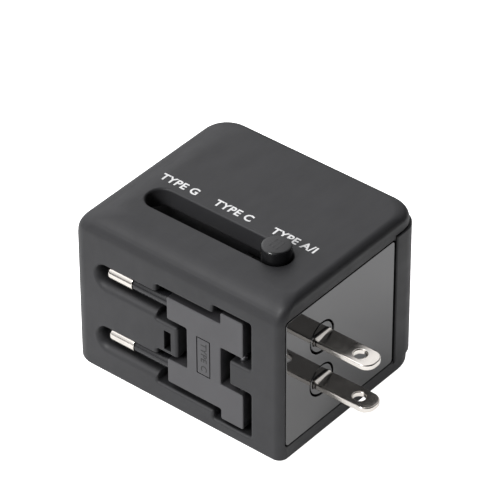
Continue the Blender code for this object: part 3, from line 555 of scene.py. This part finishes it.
SOFT_TOUCH = plastic("soft_touch_black", (0.024, 0.024, 0.026), 0.52, sheen=0.03, specular=0.4)
SATIN = plastic("satin_black", (0.061, 0.060, 0.064), 0.40, grain=0.1, grain_depth=0.006)
INNER = plastic("inner_black", (0.012, 0.012, 0.013), 0.55, grain=0.25)
SLEEVE = plastic("sleeve_black", (0.014, 0.014, 0.016), 0.26, grain=0.1, grain_depth=0.004)
KNOB = plastic("knob_black", (0.010, 0.010, 0.011), 0.20, grain=0.1, grain_depth=0.003)
PIANO = gloss("piano_black", (0.005, 0.005, 0.006))
COLLAR = gloss("collar_black", (0.010, 0.010, 0.012))
NICKEL = metal("bright_nickel", (0.80, 0.76, 0.71), 0.16, "X")
BRASS = metal("stamped_brass", (0.76, 0.56, 0.27), 0.28, "X", 0.8)
STEEL = metal("zinc_steel", (0.62, 0.62, 0.64), 0.30, "Y")
INK = print_ink("white_ink", (0.86, 0.86, 0.86))
DARK_INK = print_ink("dark_ink", (0.012, 0.012, 0.013))
CERAMIC = ceramic("fuse_ceramic", (0.82, 0.81, 0.76))


# ---------------------------------------------------------------- shells

def shell_levels(low, high):
    """Heights from low to high that follow the body's edge radii closely."""
    levels = {low, high}
    for radius in TOP_RADII.values():
        levels |= {BODY_HIGH.z - radius * (1 - sin(pi / 2 * i / EDGE_STEPS)) for i in range(EDGE_STEPS)}
    levels |= {BOTTOM_RADIUS * (1 - sin(pi / 2 * i / EDGE_STEPS)) for i in range(EDGE_STEPS)}
    kept = []
    for level in sorted(level for level in levels if low <= level <= high):
        if not kept or level - kept[-1] > 0.03:
            kept.append(level)
    kept[-1] = high
    return kept


def shell_sides(level):
    """The left, right, front and back of the body at a height."""
    inset = {side: edge_inset(radius, BODY_HIGH.z - level) for side, radius in TOP_RADII.items()}
    low = edge_inset(BOTTOM_RADIUS, level)
    return (BODY_LOW.x + LEFT_SPREAD * inset["left"] + low, BODY_HIGH.x - inset["right"] - low,
            BODY_LOW.y + inset["front"] + low, BODY_HIGH.y - inset["back"] - low)


def shell_ring(level):
    left, right, front, back = shell_sides(level)
    corners = [(right, front), (right, back), (left, back), (left, front)]
    return [(x, y, level) for x, y in fillet(corners, CORNER_RADII, 10)]


def rear_ring(level, inset):
    left, right, _, back = shell_sides(level)
    left, right, back = left + inset, right + REAR_HIGH.x - BODY_HIGH.x - inset, back - inset
    corners = [(right, REAR_START), (right, back), (left, back), (left, REAR_START)]
    return [(x, y, level) for x, y in fillet(corners, REAR_CORNER_RADII, 10)]


def recess_outline():
    """Counter-clockwise seen from the front: the latch block enters at the left, the tongue at the right."""
    outline = [(RECESS_LEFT, BLOCK_UP), (BLOCK_RIGHT, BLOCK_UP), (BLOCK_RIGHT, BLOCK_DOWN),
               (RECESS_LEFT, BLOCK_DOWN), (RECESS_LEFT, RECESS_DOWN), (RECESS_STEP, RECESS_DOWN),
               (RECESS_STEP, RECESS_EAR_DOWN), (RECESS_RIGHT, RECESS_EAR_DOWN), (RECESS_RIGHT, TONGUE_DOWN),
               (TONGUE_LEFT, TONGUE_DOWN), (TONGUE_LEFT, TONGUE_UP), (RECESS_RIGHT, TONGUE_UP),
               (RECESS_RIGHT, RECESS_EAR_UP), (RECESS_STEP, RECESS_EAR_UP), (RECESS_STEP, RECESS_UP),
               (RECESS_LEFT, RECESS_UP)]
    return [(x, z + EURO_Z) for x, z in outline]


def trough_tool(z):
    """A round-bottomed trough for one pin, open to the recess at its right, with a wide soft lower lip."""
    rims = {side: rim_steps(rim) for side, rim in TROUGH_RIM.items()}
    sections = []
    for step in range(len(rims["down"])):
        grown_by = {side: rims[side][step][1] for side in rims}
        sections.append((BODY_LOW.y + rims["down"][step][0], TROUGH_RADIUS + grown_by["up"],
                         TROUGH_RADIUS + grown_by["down"], TROUGH_LEFT - grown_by["left"]))
    for i in range(13):
        a = radians(87) * i / 12
        half = TROUGH_RADIUS * cos(a)
        sections.append((PIN_Y + TROUGH_RADIUS * sin(a), half, half, TROUGH_LEFT + TROUGH_RADIUS - half))
    steps, right = 32, RECESS_LEFT + 1
    rings = []
    for y, above, below, left in sections:
        half, centre_z = (above + below) / 2, z + (above - below) / 2
        arc = [(left + half - half * sin(pi * i / steps), y, centre_z + half * cos(pi * i / steps))
               for i in range(steps + 1)]
        rings.append([(right, y, centre_z + half)] + arc + [(right, y, centre_z - half)])
    return loft(f"trough_tool_{z:.0f}", rings)


def front_tools():
    """The recess for the swing-out plug, with its troughs, hinge bore, contact slots and latch window."""
    depth = RECESS_FLOOR - BODY_LOW.y
    outline = recess_outline()
    tools = [sunk("recess_tool", lambda growth: grown(outline, growth, 0.6), RECESS_RIM, depth, from_front),
             box("latch_tool", (LATCH_LOW[0], BODY_LOW.y - 1, LATCH_LOW[1]),
                 (LATCH_HIGH[0], BODY_LOW.y + LATCH_DEPTH, LATCH_HIGH[1])),
             turned("hinge_bore_tool", rod(HINGE_RADIUS + TURN_GAP, -HINGE_BORE_HALF, HINGE_BORE_HALF),
                    (0, 0, 1), (HINGE.x, HINGE.y, EURO_Z), 32)]
    for z in (EURO_Z + PIN_RISE, EURO_Z - PIN_RISE):
        tools.append(trough_tool(z))
        tools.append(box(f"contact_slot_tool_{z:.0f}",
                         (HINGE.x - CONTACT_SLOT_X, RECESS_FLOOR - 0.5, z - CONTACT_SLOT_Z),
                         (HINGE.x + CONTACT_SLOT_X, BODY_LOW.y + WALL_FRONT + 0.5, z + CONTACT_SLOT_Z)))
    return tools


def panel_tools(side, low, high):
    """The pocket of a side panel, with a small rim, and the window behind it."""
    surface = side * BODY_HIGH.x
    outline = rectangle(low.y - PANEL_GAP, high.y + PANEL_BACK_GAP, low.z - PANEL_GAP, high.z + PANEL_GAP)
    pocket = sunk(f"pocket_tool_{side}", lambda growth: grown(outline, growth, 1.0), 0.25, POCKET_DEPTH,
                  lambda u, v, depth: (surface - side * depth, u, v))
    inner, outer = sorted((side * (BODY_HIGH.x - WALL_SIDE - 1), side * (BODY_HIGH.x - 1)))
    return (pocket, box(f"window_tool_{side}", (inner, BODY_LOW.y + WALL_FRONT, low.z + LEDGE_LOW),
                        (outer, REAR_START - LEDGE_BACK, high.z - LEDGE_TOP)))


def slot_tool():
    radius = KNOB_RADIUS + SLOT_CLEARANCE
    left, right = KNOB_AT.x - TRAVEL, KNOB_AT.x
    return sunk("slot_tool", lambda growth: stadium(left, right, KNOB_AT.y, radius + growth),
                SLOT_RIM, WALL_TOP + 1, from_top)


def screw_axes():
    """The middle of each housing screw, in X and Z, with its node's name."""
    for number in range(1, 5):
        node = f"housing_screw_{number}"
        yield node, middle(node).x, middle(node).z


def front_shell():
    shell = loft("front_shell", [shell_ring(level) for level in shell_levels(0.0, BODY_HIGH.z)])
    inside = BODY_HIGH.x - WALL_SIDE
    beyond = BODY_HIGH.y + 4
    ceiling = BODY_HIGH.z - WALL_TOP
    cut(shell,
        box("cavity_tool", (-inside, BODY_LOW.y + WALL_FRONT, WALL_BOTTOM), (inside, beyond, ceiling)),
        box("rear_tool", (BODY_LOW.x - 4, REAR_START - REAR_SEAM, WALL_BOTTOM),
            (BODY_HIGH.x + 4, beyond + 1, REAR_OPENING_TOP)),
        *panel_tools(1, PANEL_LOW, PANEL_HIGH), *panel_tools(-1, UK_PANEL_LOW, UK_PANEL_HIGH),
        slot_tool(), *front_tools())
    added = [box("guide_rib", (-inside - 0.5, *RIB_LOW), (inside + 0.5, RIB_BACK, ceiling + 1))]
    bores = []
    for node, x, z in screw_axes():
        below = z < BODY_HIGH.z / 2
        low, high = (WALL_BOTTOM - 1, z + 3) if below else (z - 3, ceiling + 1)
        added.append(box(node + "_boss", (x - BOSS_HALF, BOSS_FRONT, low), (x + BOSS_HALF, BOSS_BACK, high)))
        bores.append(turned(node + "_bore_tool", rod(BORE_RADIUS, 0, 8), (0, 1, 0), (x, BORE_FRONT, z), 24))
    combine(shell, added, "UNION")
    cut(shell, *bores)
    finish(smooth(shell), "housing", SOFT_TOUCH, "soft_touch_shell", "front_housing")


def rear_shell():
    low, high = REAR_LOW.z, REAR_HIGH.z
    levels = shell_levels(low + REAR_INSET, high - REAR_INSET)
    shell = loft("rear_shell", [rear_ring(low, REAR_INSET), *(rear_ring(level, 0.0) for level in levels),
                                rear_ring(high, REAR_INSET)])
    inner = BODY_HIGH.y - REAR_WALL
    side = BODY_HIGH.x - WALL_SIDE - SHELL_GAP
    opening = rectangle(FACE_LOW.x - SHELL_GAP, FACE_HIGH.x + SHELL_GAP,
                        FACE_LOW.z - SHELL_GAP, FACE_HIGH.z + SHELL_GAP)
    cut(shell,
        box("hollow_tool", (-side, REAR_START - 1, low + REAR_FRAME), (side, inner, high - REAR_FRAME)),
        sunk("opening_tool", lambda growth: grown(opening, growth, FACE_CORNER + SHELL_GAP), 0.4,
             REAR_WALL + 1, from_back))
    combine(shell, [box(node + "_post", (x - BOSS_HALF, REAR_LOW.y, z - BOSS_HALF),
                        (x + BOSS_HALF, inner + 1, z + BOSS_HALF)) for node, x, z in screw_axes()], "UNION")
    for node, x, z in screw_axes():
        cut(shell,
            turned(node + "_passage_tool", rod(PASSAGE_RADIUS, 0, 12), (0, 1, 0), (x, REAR_LOW.y - 2, z), 32),
            sunk(node + "_counterbore_tool", lambda growth: circle(x, z, COUNTERBORE_RADIUS + growth, 48),
                 0.3, COUNTERBORE_DEPTH, from_back))
    finish(smooth(shell), "housing", SOFT_TOUCH, "soft_touch_shell", "rear_housing")


# ---------------------------------------------------------------- panels, collars and blades

def side_panel(node, holes):
    low, high = span(node)
    outline = fillet(rectangle(low.y, high.y, low.z, high.z), 1.0, 8)
    panel = slab(node + "_gloss", [outline] + holes, low.x, high.x, "YZ", 0.15)
    finish(smooth(panel), "housing", PIANO, "gloss_panel", node)


def us_panel():
    side_panel("us_side_panel", [circle(middle(node).y, middle(node).z, COLLAR_HOLE, 96)
                                 for node in ("us_collar_upper", "us_collar_lower")])


def uk_panel():
    holes = []
    for node in ("uk_sleeve_live", "uk_sleeve_neutral", "uk_earth_pin"):
        low, high = span(node)
        holes.append(fillet(rectangle(low.y - UK_HOLE_GROWTH, high.y + UK_HOLE_GROWTH,
                                      low.z - UK_HOLE_GROWTH, high.z + UK_HOLE_GROWTH), 0.6, 5))
    side_panel("uk_side_panel", holes)


def us_rotor(side):
    """One collar, dark glossy plastic, with its blade through it."""
    collar, blade = "us_collar_" + side, "us_blade_" + side
    body = "us_rotor_" + side
    (low, high), (blade_low, blade_high) = span(collar), span(blade)
    centre = middle(collar)
    slot = fillet(rectangle(blade_low.y - BLADE_GAP, blade_high.y + BLADE_GAP,
                            blade_low.z - BLADE_GAP, blade_high.z + BLADE_GAP), 0.1, 2)
    ring = slab(collar + "_turned", [circle(centre.y, centre.z, (high.z - low.z) / 2, 96), slot],
                low.x, high.x, "YZ", 0.25)
    finish(smooth(ring), body, COLLAR, "gloss_panel", collar)
    corners = [(blade_low.x, blade_low.y), (blade_high.x, blade_low.y),
               (blade_high.x, blade_high.y), (blade_low.x, blade_high.y)]
    outline = fillet(corners, [0.4, BLADE_TIP_RADIUS, BLADE_TIP_RADIUS, 0.4], 12)
    plate = slab(blade + "_stamped", [outline, circle(BLADE_HOLE_X, centre.y, BLADE_HOLE_RADIUS, 64)],
                 blade_low.z, blade_high.z, "XY", 0.3, 4)
    finish(smooth(combine(plate, [blade_shoulder(blade, high.x, centre.y, blade_low, blade_high)], "UNION")),
           body, NICKEL, "nickel_plating", blade)


def blade_shoulder(name, root, y, low, high):
    """The swaged shoulder where a blade leaves its collar: (distance, extra height, extra width) steps."""
    middle_z, half_z, half_y = (low.z + high.z) / 2, (high.z - low.z) / 2, (high.y - low.y) / 2
    sections = ((0.05, 0.5, -0.35), (0.45, 0.42, -0.35), (1.3, -0.05, -0.45))
    return loft(name + "_shoulder", [
        [(root + x, u, v) for u, v in fillet(rectangle(
            y - half_y - narrow, y + half_y + narrow, middle_z - half_z - rise, middle_z + half_z + rise),
            0.15, 3)]
        for x, rise, narrow in sections])


# ---------------------------------------------------------------- rectangular pins

def nosed_bar(name, low, high, nose, corner, tail=None):
    """A bar along X between two corners, with a rounded nose at its -X end and maybe a thinner tail."""
    centre_y, centre_z = (low.y + high.y) / 2, (low.z + high.z) / 2
    half_y, half_z = (high.y - low.y) / 2, (high.z - low.z) / 2
    sections = [(low.x + nose * (1 - cos(a)), 0.7 * nose * (1 - sin(a)))
                for a in (pi / 2 * i / 8 for i in range(9))]
    if tail:
        sections += [(tail, 0.0), (tail + 0.02, 0.6)]
    sections.append((high.x, sections[-1][1]))
    return loft(name, [
        [(x, u, v) for u, v in fillet(rectangle(centre_y - half_y + inset, centre_y + half_y - inset,
                                                centre_z - half_z + inset, centre_z + half_z - inset),
                                      corner, 5)] for x, inset in sections])


def uk_plug():
    for pole in ("live", "neutral"):
        pin, sleeve = "uk_pin_" + pole, "uk_sleeve_" + pole
        low, high = span(sleeve)
        finish(smooth(nosed_bar(pin + "_drawn", *span(pin), 1.3, 0.4, low.x - 0.15)),
               "slider", NICKEL, "nickel_plating", pin)
        outlines = [fillet(rectangle(low.y + inset, high.y - inset, low.z + inset, high.z - inset), 0.45, 5)
                    for inset in (0.0, 0.45)]
        finish(smooth(slab(sleeve + "_moulded", outlines, low.x, high.x, "YZ", 0.08, 2)),
               "slider", SLEEVE, "pin_sleeve", sleeve)
    finish(smooth(nosed_bar("uk_earth_pin_moulded", *span("uk_earth_pin"), 1.3, 0.4)),
           "slider", SATIN, "satin_plastic", "uk_earth_pin")


# ---------------------------------------------------------------- knob

def rod(radius, low, high):
    """A cylinder's profile, between two distances along its axis."""
    return [(0, high), (radius, high), (radius, low), (0, low)]


def slider_knob():
    """A black button with a slightly domed top, a rolled edge and three grip ridges."""
    top, edge, dome = KNOB_HIGH.z, 0.6, 0.15
    profile = [(0, top)]
    for i in range(1, 9):
        r = (KNOB_RADIUS - edge) * i / 8
        profile.append((r, top - dome * (r / KNOB_RADIUS) ** 2))
    for i in range(1, 9):
        a = pi / 2 * i / 8
        profile.append((KNOB_RADIUS - edge + edge * sin(a), profile[8][1] - edge * (1 - cos(a))))
    ceiling = BODY_HIGH.z - WALL_TOP
    flange_top, flange_low, stem = ceiling - SHELL_GAP, ceiling - 1.5, 2.3
    flange = (KNOB_HIGH.x - KNOB_LOW.x) / 2
    profile += [(KNOB_RADIUS, flange_top), (flange, flange_top), (flange, flange_low),
                (stem, flange_low), (stem, KNOB_LOW.z), (0, KNOB_LOW.z)]
    knob = turned("slider_knob_turned", profile, (0, 0, 1), (KNOB_AT.x, KNOB_AT.y, 0), 96)
    ridges = []
    for step in (-1, 0, 1):
        x = KNOB_AT.x + step * RIDGE_STEP
        ridges.append(box(f"knob_ridge_{step}", (x - RIDGE_HALF_X, KNOB_AT.y - RIDGE_HALF_Y, top - edge),
                          (x + RIDGE_HALF_X, KNOB_AT.y + RIDGE_HALF_Y, top)))
    combine(knob, ridges, "UNION")
    finish(smooth(knob), "knob", KNOB, "satin_plastic", "slider_knob")


def knob_spring():
    """A copy of the CAD's coil under the knob."""
    node = frame["nodes"]["knob_spring"]
    mesh = node.data.copy()
    mesh.transform(node.matrix_world)
    coil = finish(add("knob_coil", mesh), "slider", STEEL, "steel", "knob_spring")
    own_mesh(coil)


# ---------------------------------------------------------------- swing-out plug

def carrier():
    """The plug's body: a thin frame with ears on the hinge and an engraved label."""
    low, high = CARRIER_LOW, CARRIER_HIGH
    ear = (high.z - low.z) / 2
    right = [(high.x, EAR_INNER), (high.x, ear), (EAR_LEFT, ear), (EAR_LEFT, ARM_UP)]
    lower_right = [(EAR_LEFT, ARM_DOWN), (EAR_LEFT, -ear), (high.x, -ear), (high.x, -EAR_INNER),
                   (EAR_LEFT, -EAR_INNER), (EAR_LEFT, EAR_INNER)]
    left = [(low.x, ARM_UP), (low.x, NOTCH_HALF), (NOTCH_RIGHT, NOTCH_HALF), (NOTCH_RIGHT, -NOTCH_HALF),
            (low.x, -NOTCH_HALF), (low.x, ARM_DOWN)]
    outline = fillet([(x, z + EURO_Z) for x, z in right + left + lower_right], 0.5, 6)
    frame_body = slab("europlug_carrier_moulded", [outline], low.y, high.y, "XZ", 0.28, 4)
    groove = [fillet(rectangle(LABEL_LEFT - grow, LABEL_RIGHT + grow,
                               LABEL_LOW - grow, LABEL_HIGH + grow), 0.2, 3) for grow in (0.16, -0.16)]
    tools = [slab("label_groove_tool", groove, low.y - 1, low.y + 0.25, "XZ"),
             turned("carrier_hinge_tool", rod(HINGE_RADIUS + TURN_GAP, -20, 20), (0, 0, 1),
                    (HINGE.x, HINGE.y, EURO_Z), 32)]
    for sign in (1, -1):
        tools.append(turned(f"pin_bore_tool_{sign}", rod(SLEEVE_RADIUS + TURN_GAP, 0, 10), (1, 0, 0),
                            (low.x - 4, HINGE.y, EURO_Z + sign * PIN_RISE), 48))
    finish(smooth(cut(frame_body, *tools)), "europlug", SATIN, "satin_plastic", "europlug_carrier")
    turn = Matrix.Rotation(pi / 2, 4, "X") @ Matrix.Rotation(-pi / 2, 4, "Z")
    centre = ((LABEL_LEFT + LABEL_RIGHT) / 2, low.y - 0.004, (LABEL_LOW + LABEL_HIGH) / 2)
    finish(text("carrier_label", "TYPE C", 1.75, centre, turn, 0.01), "europlug", DARK_INK, "satin_plastic")


def euro_pin(side):
    pin, sleeve = "euro_pin_" + side, "euro_sleeve_" + side
    low, high = span(pin)
    shoulder = span(sleeve)[0].x - 0.15
    edge = 0.8
    radius = (high.z - low.z) / 2
    profile = [(0, 0)] + [(radius - edge + edge * sin(a), edge * (1 - cos(a)))
                          for a in (pi / 2 * i / 8 for i in range(9))]
    profile += [(radius, shoulder - low.x - 0.12), (radius - 0.12, shoulder - low.x),
                (PIN_CORE, shoulder - low.x), (PIN_CORE, high.x - low.x), (0, high.x - low.x)]
    at = (low.x, PIN_Y, middle(pin).z)
    finish(smooth(turned(pin + "_turned", profile, (1, 0, 0), at, 72)),
           "europlug", NICKEL, "nickel_plating", pin)
    low, high = span(sleeve)
    outlines = [circle(PIN_Y, middle(sleeve).z, radius, 72) for radius in (SLEEVE_RADIUS, PIN_CORE + 0.12)]
    finish(smooth(slab(sleeve + "_moulded", outlines, low.x, high.x, "YZ", 0.08, 2)),
           "europlug", SLEEVE, "pin_sleeve", sleeve)


def hinge_pin():
    low, high = span("europlug_hinge_pin")
    half, chamfer = (high.z - low.z) / 2, 0.25
    profile = [(0, half), (HINGE_RADIUS - chamfer, half), (HINGE_RADIUS, half - chamfer),
               (HINGE_RADIUS, chamfer - half), (HINGE_RADIUS - chamfer, -half), (0, -half)]
    finish(smooth(turned("europlug_hinge_pin_turned", profile, (0, 0, 1), (HINGE.x, HINGE.y, EURO_Z), 48)),
           "housing", STEEL, "steel", "europlug_hinge_pin")


# ---------------------------------------------------------------- socket side

def socket_face():
    """The glossy face, with an opening for rectangular, round and flat pins in each line hole."""
    low, high = FACE_LOW, FACE_HIGH
    outline = fillet(rectangle(low.x, high.x, low.z, high.z), FACE_CORNER, 12)
    face = slab("socket_face_gloss", [outline], low.y, high.y, "XZ", 0.3, 4)

    def prism(name, points):
        return slab(name, [points], low.y - 1, high.y + 1, "XZ")

    def opening(x, z, half, corner):
        return fillet(rectangle(x - half[0], x + half[0], z - half[1], z + half[1]), corner)

    tools = [prism("earth_tool", opening(0, EARTH_Z, EARTH_HALF, 0.4))]
    for side in (-1, 1):
        slant = Matrix.Rotation(side * radians(-30), 2)
        middle_of_slant = Vector((side * SLANTED_X, LINE_Z + SLANTED_RISE))
        slanted = [middle_of_slant + slant @ Vector(point) for point in opening(0, 0, SLANTED_HALF, 0.3)]
        tools += [prism(f"square_tool_{side}", opening(side * LINE_X, LINE_Z, SQUARE_HALF, 0.4)),
                  prism(f"round_tool_{side}", circle(side * ROUND_X, LINE_Z, ROUND_RADIUS, 48)),
                  prism(f"flat_tool_{side}", opening(side * FLAT_X, LINE_Z, FLAT_HALF, 0.3)),
                  prism(f"slanted_tool_{side}", slanted)]
    finish(smooth(cut(face, *tools)), "housing", PIANO, "gloss_panel", "socket_face")


def housing_screws():
    """Pan-head screws with a cross recess."""
    for node, x, z in screw_axes():
        low, high = span(node)
        top, radius = high.y - low.y, (high.z - low.z) / 2
        dome = [(radius * sin(a), top - 0.6 * (1 - cos(a))) for a in (radians(75) * i / 8 for i in range(9))]
        rim = dome[-1][1]
        profile = dome + [(radius, rim - 0.25), (radius, rim - 0.85), (SCREW_SHANK, rim - 1.1),
                          (SCREW_SHANK, 1.0), (0, 0)]
        screw = turned(node + "_turned", profile, (0, 1, 0), (x, low.y, z), 48)
        cross = [box(f"{node}_cross_{u}", (x - u, high.y - 0.9, z - v), (x + u, high.y + 1, z + v))
                 for u, v in ((1.3, 0.3), (0.3, 1.3))]
        finish(smooth(cut(screw, *cross)), "housing", STEEL, "steel", node)


# ---------------------------------------------------------------- printed labels

def labels():
    """Generic plug types, printed behind the slot next to each stop of the knob."""
    for number, (words, x) in enumerate(PRINTS.items(), 1):
        finish(text(f"slot_label_{number}", words, PRINT_HEIGHT, (x, PRINT_Y, BODY_HIGH.z + 0.012),
                    Matrix(), 0.01, PRINT_BOLD), "housing", INK, "soft_touch_shell")


front_shell()
rear_shell()
us_panel()
uk_panel()
us_rotor("upper")
us_rotor("lower")
uk_plug()
slider_knob()
carrier()
euro_pin("upper")
euro_pin("lower")
hinge_pin()
knob_spring()
socket_face()
housing_screws()
labels()

# ---------------------------------------------------------------- CAD nodes that keep their shape

SLOT_MATERIALS = {"soft_touch_shell": SOFT_TOUCH, "satin_plastic": SATIN, "gloss_panel": PIANO,
                  "inner_plastic": INNER, "pin_sleeve": SLEEVE, "nickel_plating": NICKEL,
                  "contact_brass": BRASS, "steel": STEEL, "fuse_ceramic": CERAMIC}
SUBPART_SLOTS = {part["node"]: part["material_slot"] for part in frame["record"]["subparts"]}
for node_name, cad_node in frame["nodes"].items():
    cad_node.data.materials.clear()
    cad_node.data.materials.append(SLOT_MATERIALS[SUBPART_SLOTS[node_name]])


# ---------------------------------------------------------------- floor, light and camera

def stage():
    form = bmesh.new()
    bmesh.ops.create_grid(form, x_segments=8, y_segments=8, size=1.5)
    mesh = bpy.data.meshes.new("floor")
    form.to_mesh(mesh)
    form.free()
    floor = add("floor", mesh)
    floor.location.z = -0.0001
    tree = Tree("pale_floor")
    away = tree.node("ShaderNodeVectorMath", {0: tree.place}, operation="LENGTH").outputs["Value"]
    near = tree.ramp(away, 1.0, 0.0, FLOOR_REACH, FLOOR_REACH + FLOOR_FADE)
    seen = tree.node("ShaderNodeLightPath").outputs["Is Camera Ray"]
    lit = tree.node("ShaderNodeMath", {0: near, 1: seen}, operation="MAXIMUM").outputs[0]
    glow = tree.node("ShaderNodeMath", {0: near, 1: FLOOR_GLOW}, operation="MULTIPLY").outputs[0]
    tree.surface(Base_Color=tree.mix(lit, (0.02, 0.02, 0.02, 1.0), (0.92, 0.92, 0.92, 1.0)),
                 Roughness=0.9, Specular_IOR_Level=0.1, Emission_Color=(1.0, 1.0, 1.0, 1.0),
                 Emission_Strength=tree.node("ShaderNodeMath", {0: seen, 1: FLOOR_SEEN, 2: glow},
                                             operation="MULTIPLY_ADD").outputs[0])
    mesh.materials.append(tree.material)


def area_light(name, towards, distance, size, power):
    """A square light in a direction from the object, facing it."""
    light = bpy.data.lights.new(name, "AREA")
    light.shape, light.size, light.energy = "SQUARE", size, power
    made = bpy.data.objects.new(name, light)
    bpy.context.scene.collection.objects.link(made)
    direction = Vector(towards).normalized()
    made.location = direction * distance
    made.rotation_euler = direction.to_track_quat("Z", "Y").to_euler()


def world_light(glows):
    """Wide soft glows on a dark sky. Each is a direction and the brightness at its middle."""
    world = bpy.context.scene.world or bpy.data.worlds.new("studio")
    bpy.context.scene.world = world
    world.use_nodes = True
    nodes, links = world.node_tree.nodes, world.node_tree.links
    view = nodes.new("ShaderNodeTexCoord").outputs["Generated"]
    total = None
    for towards, bright in glows:
        facing = nodes.new("ShaderNodeVectorMath")
        facing.operation = "DOT_PRODUCT"
        facing.inputs[1].default_value = Vector(towards).normalized()
        links.new(view, facing.inputs[0])
        glow = nodes.new("ShaderNodeMapRange")
        glow.interpolation_type = "SMOOTHSTEP"
        for key, value in (("From Min", GLOW_EDGE), ("From Max", GLOW_CORE), ("To Max", bright)):
            glow.inputs[key].default_value = value
        links.new(facing.outputs["Value"], glow.inputs["Value"])
        if total:
            both = nodes.new("ShaderNodeMath")
            links.new(total, both.inputs[0])
            links.new(glow.outputs[0], both.inputs[1])
            total = both.outputs[0]
        else:
            total = glow.outputs[0]
    height = nodes.new("ShaderNodeSeparateXYZ")
    links.new(view, height.inputs[0])
    above = nodes.new("ShaderNodeMapRange")
    above.inputs["From Min"].default_value, above.inputs["From Max"].default_value = HORIZON
    links.new(height.outputs["Z"], above.inputs["Value"])
    strength = nodes.new("ShaderNodeMath")
    strength.operation = "MULTIPLY"
    links.new(total, strength.inputs[0])
    links.new(above.outputs[0], strength.inputs[1])
    background = nodes["Background"]
    background.inputs["Color"].default_value = (0.985, 0.985, 1.0, 1.0)
    links.new(strength.outputs[0], background.inputs["Strength"])


def camera():
    """The product view: a long lens from the front right, well above."""
    azimuth, elevation, roll, distance = radians(39.44), radians(37.61), radians(-0.21), 895.55
    target = Vector((3.86, -3.18, 36.85))
    direction = Vector((sin(azimuth) * cos(elevation), -cos(azimuth) * cos(elevation), sin(elevation)))
    lens = bpy.data.cameras.new("camera")
    lens.sensor_width = 36.0
    lens.lens = 274.4
    lens.clip_start, lens.clip_end = 0.01, 20.0
    made = bpy.data.objects.new("camera", lens)
    bpy.context.scene.collection.objects.link(made)
    made.matrix_world = (Matrix.Translation((target + direction * distance) * MM)
                         @ direction.to_track_quat("Z", "Y").to_matrix().to_4x4()
                         @ Matrix.Rotation(roll, 4, "Z"))
    bpy.context.scene.camera = made


stage()
world_light(GLOWS)
area_light("front", *FRONT_LIGHT)
camera()
bpy.context.scene.view_settings.view_transform = "Standard"
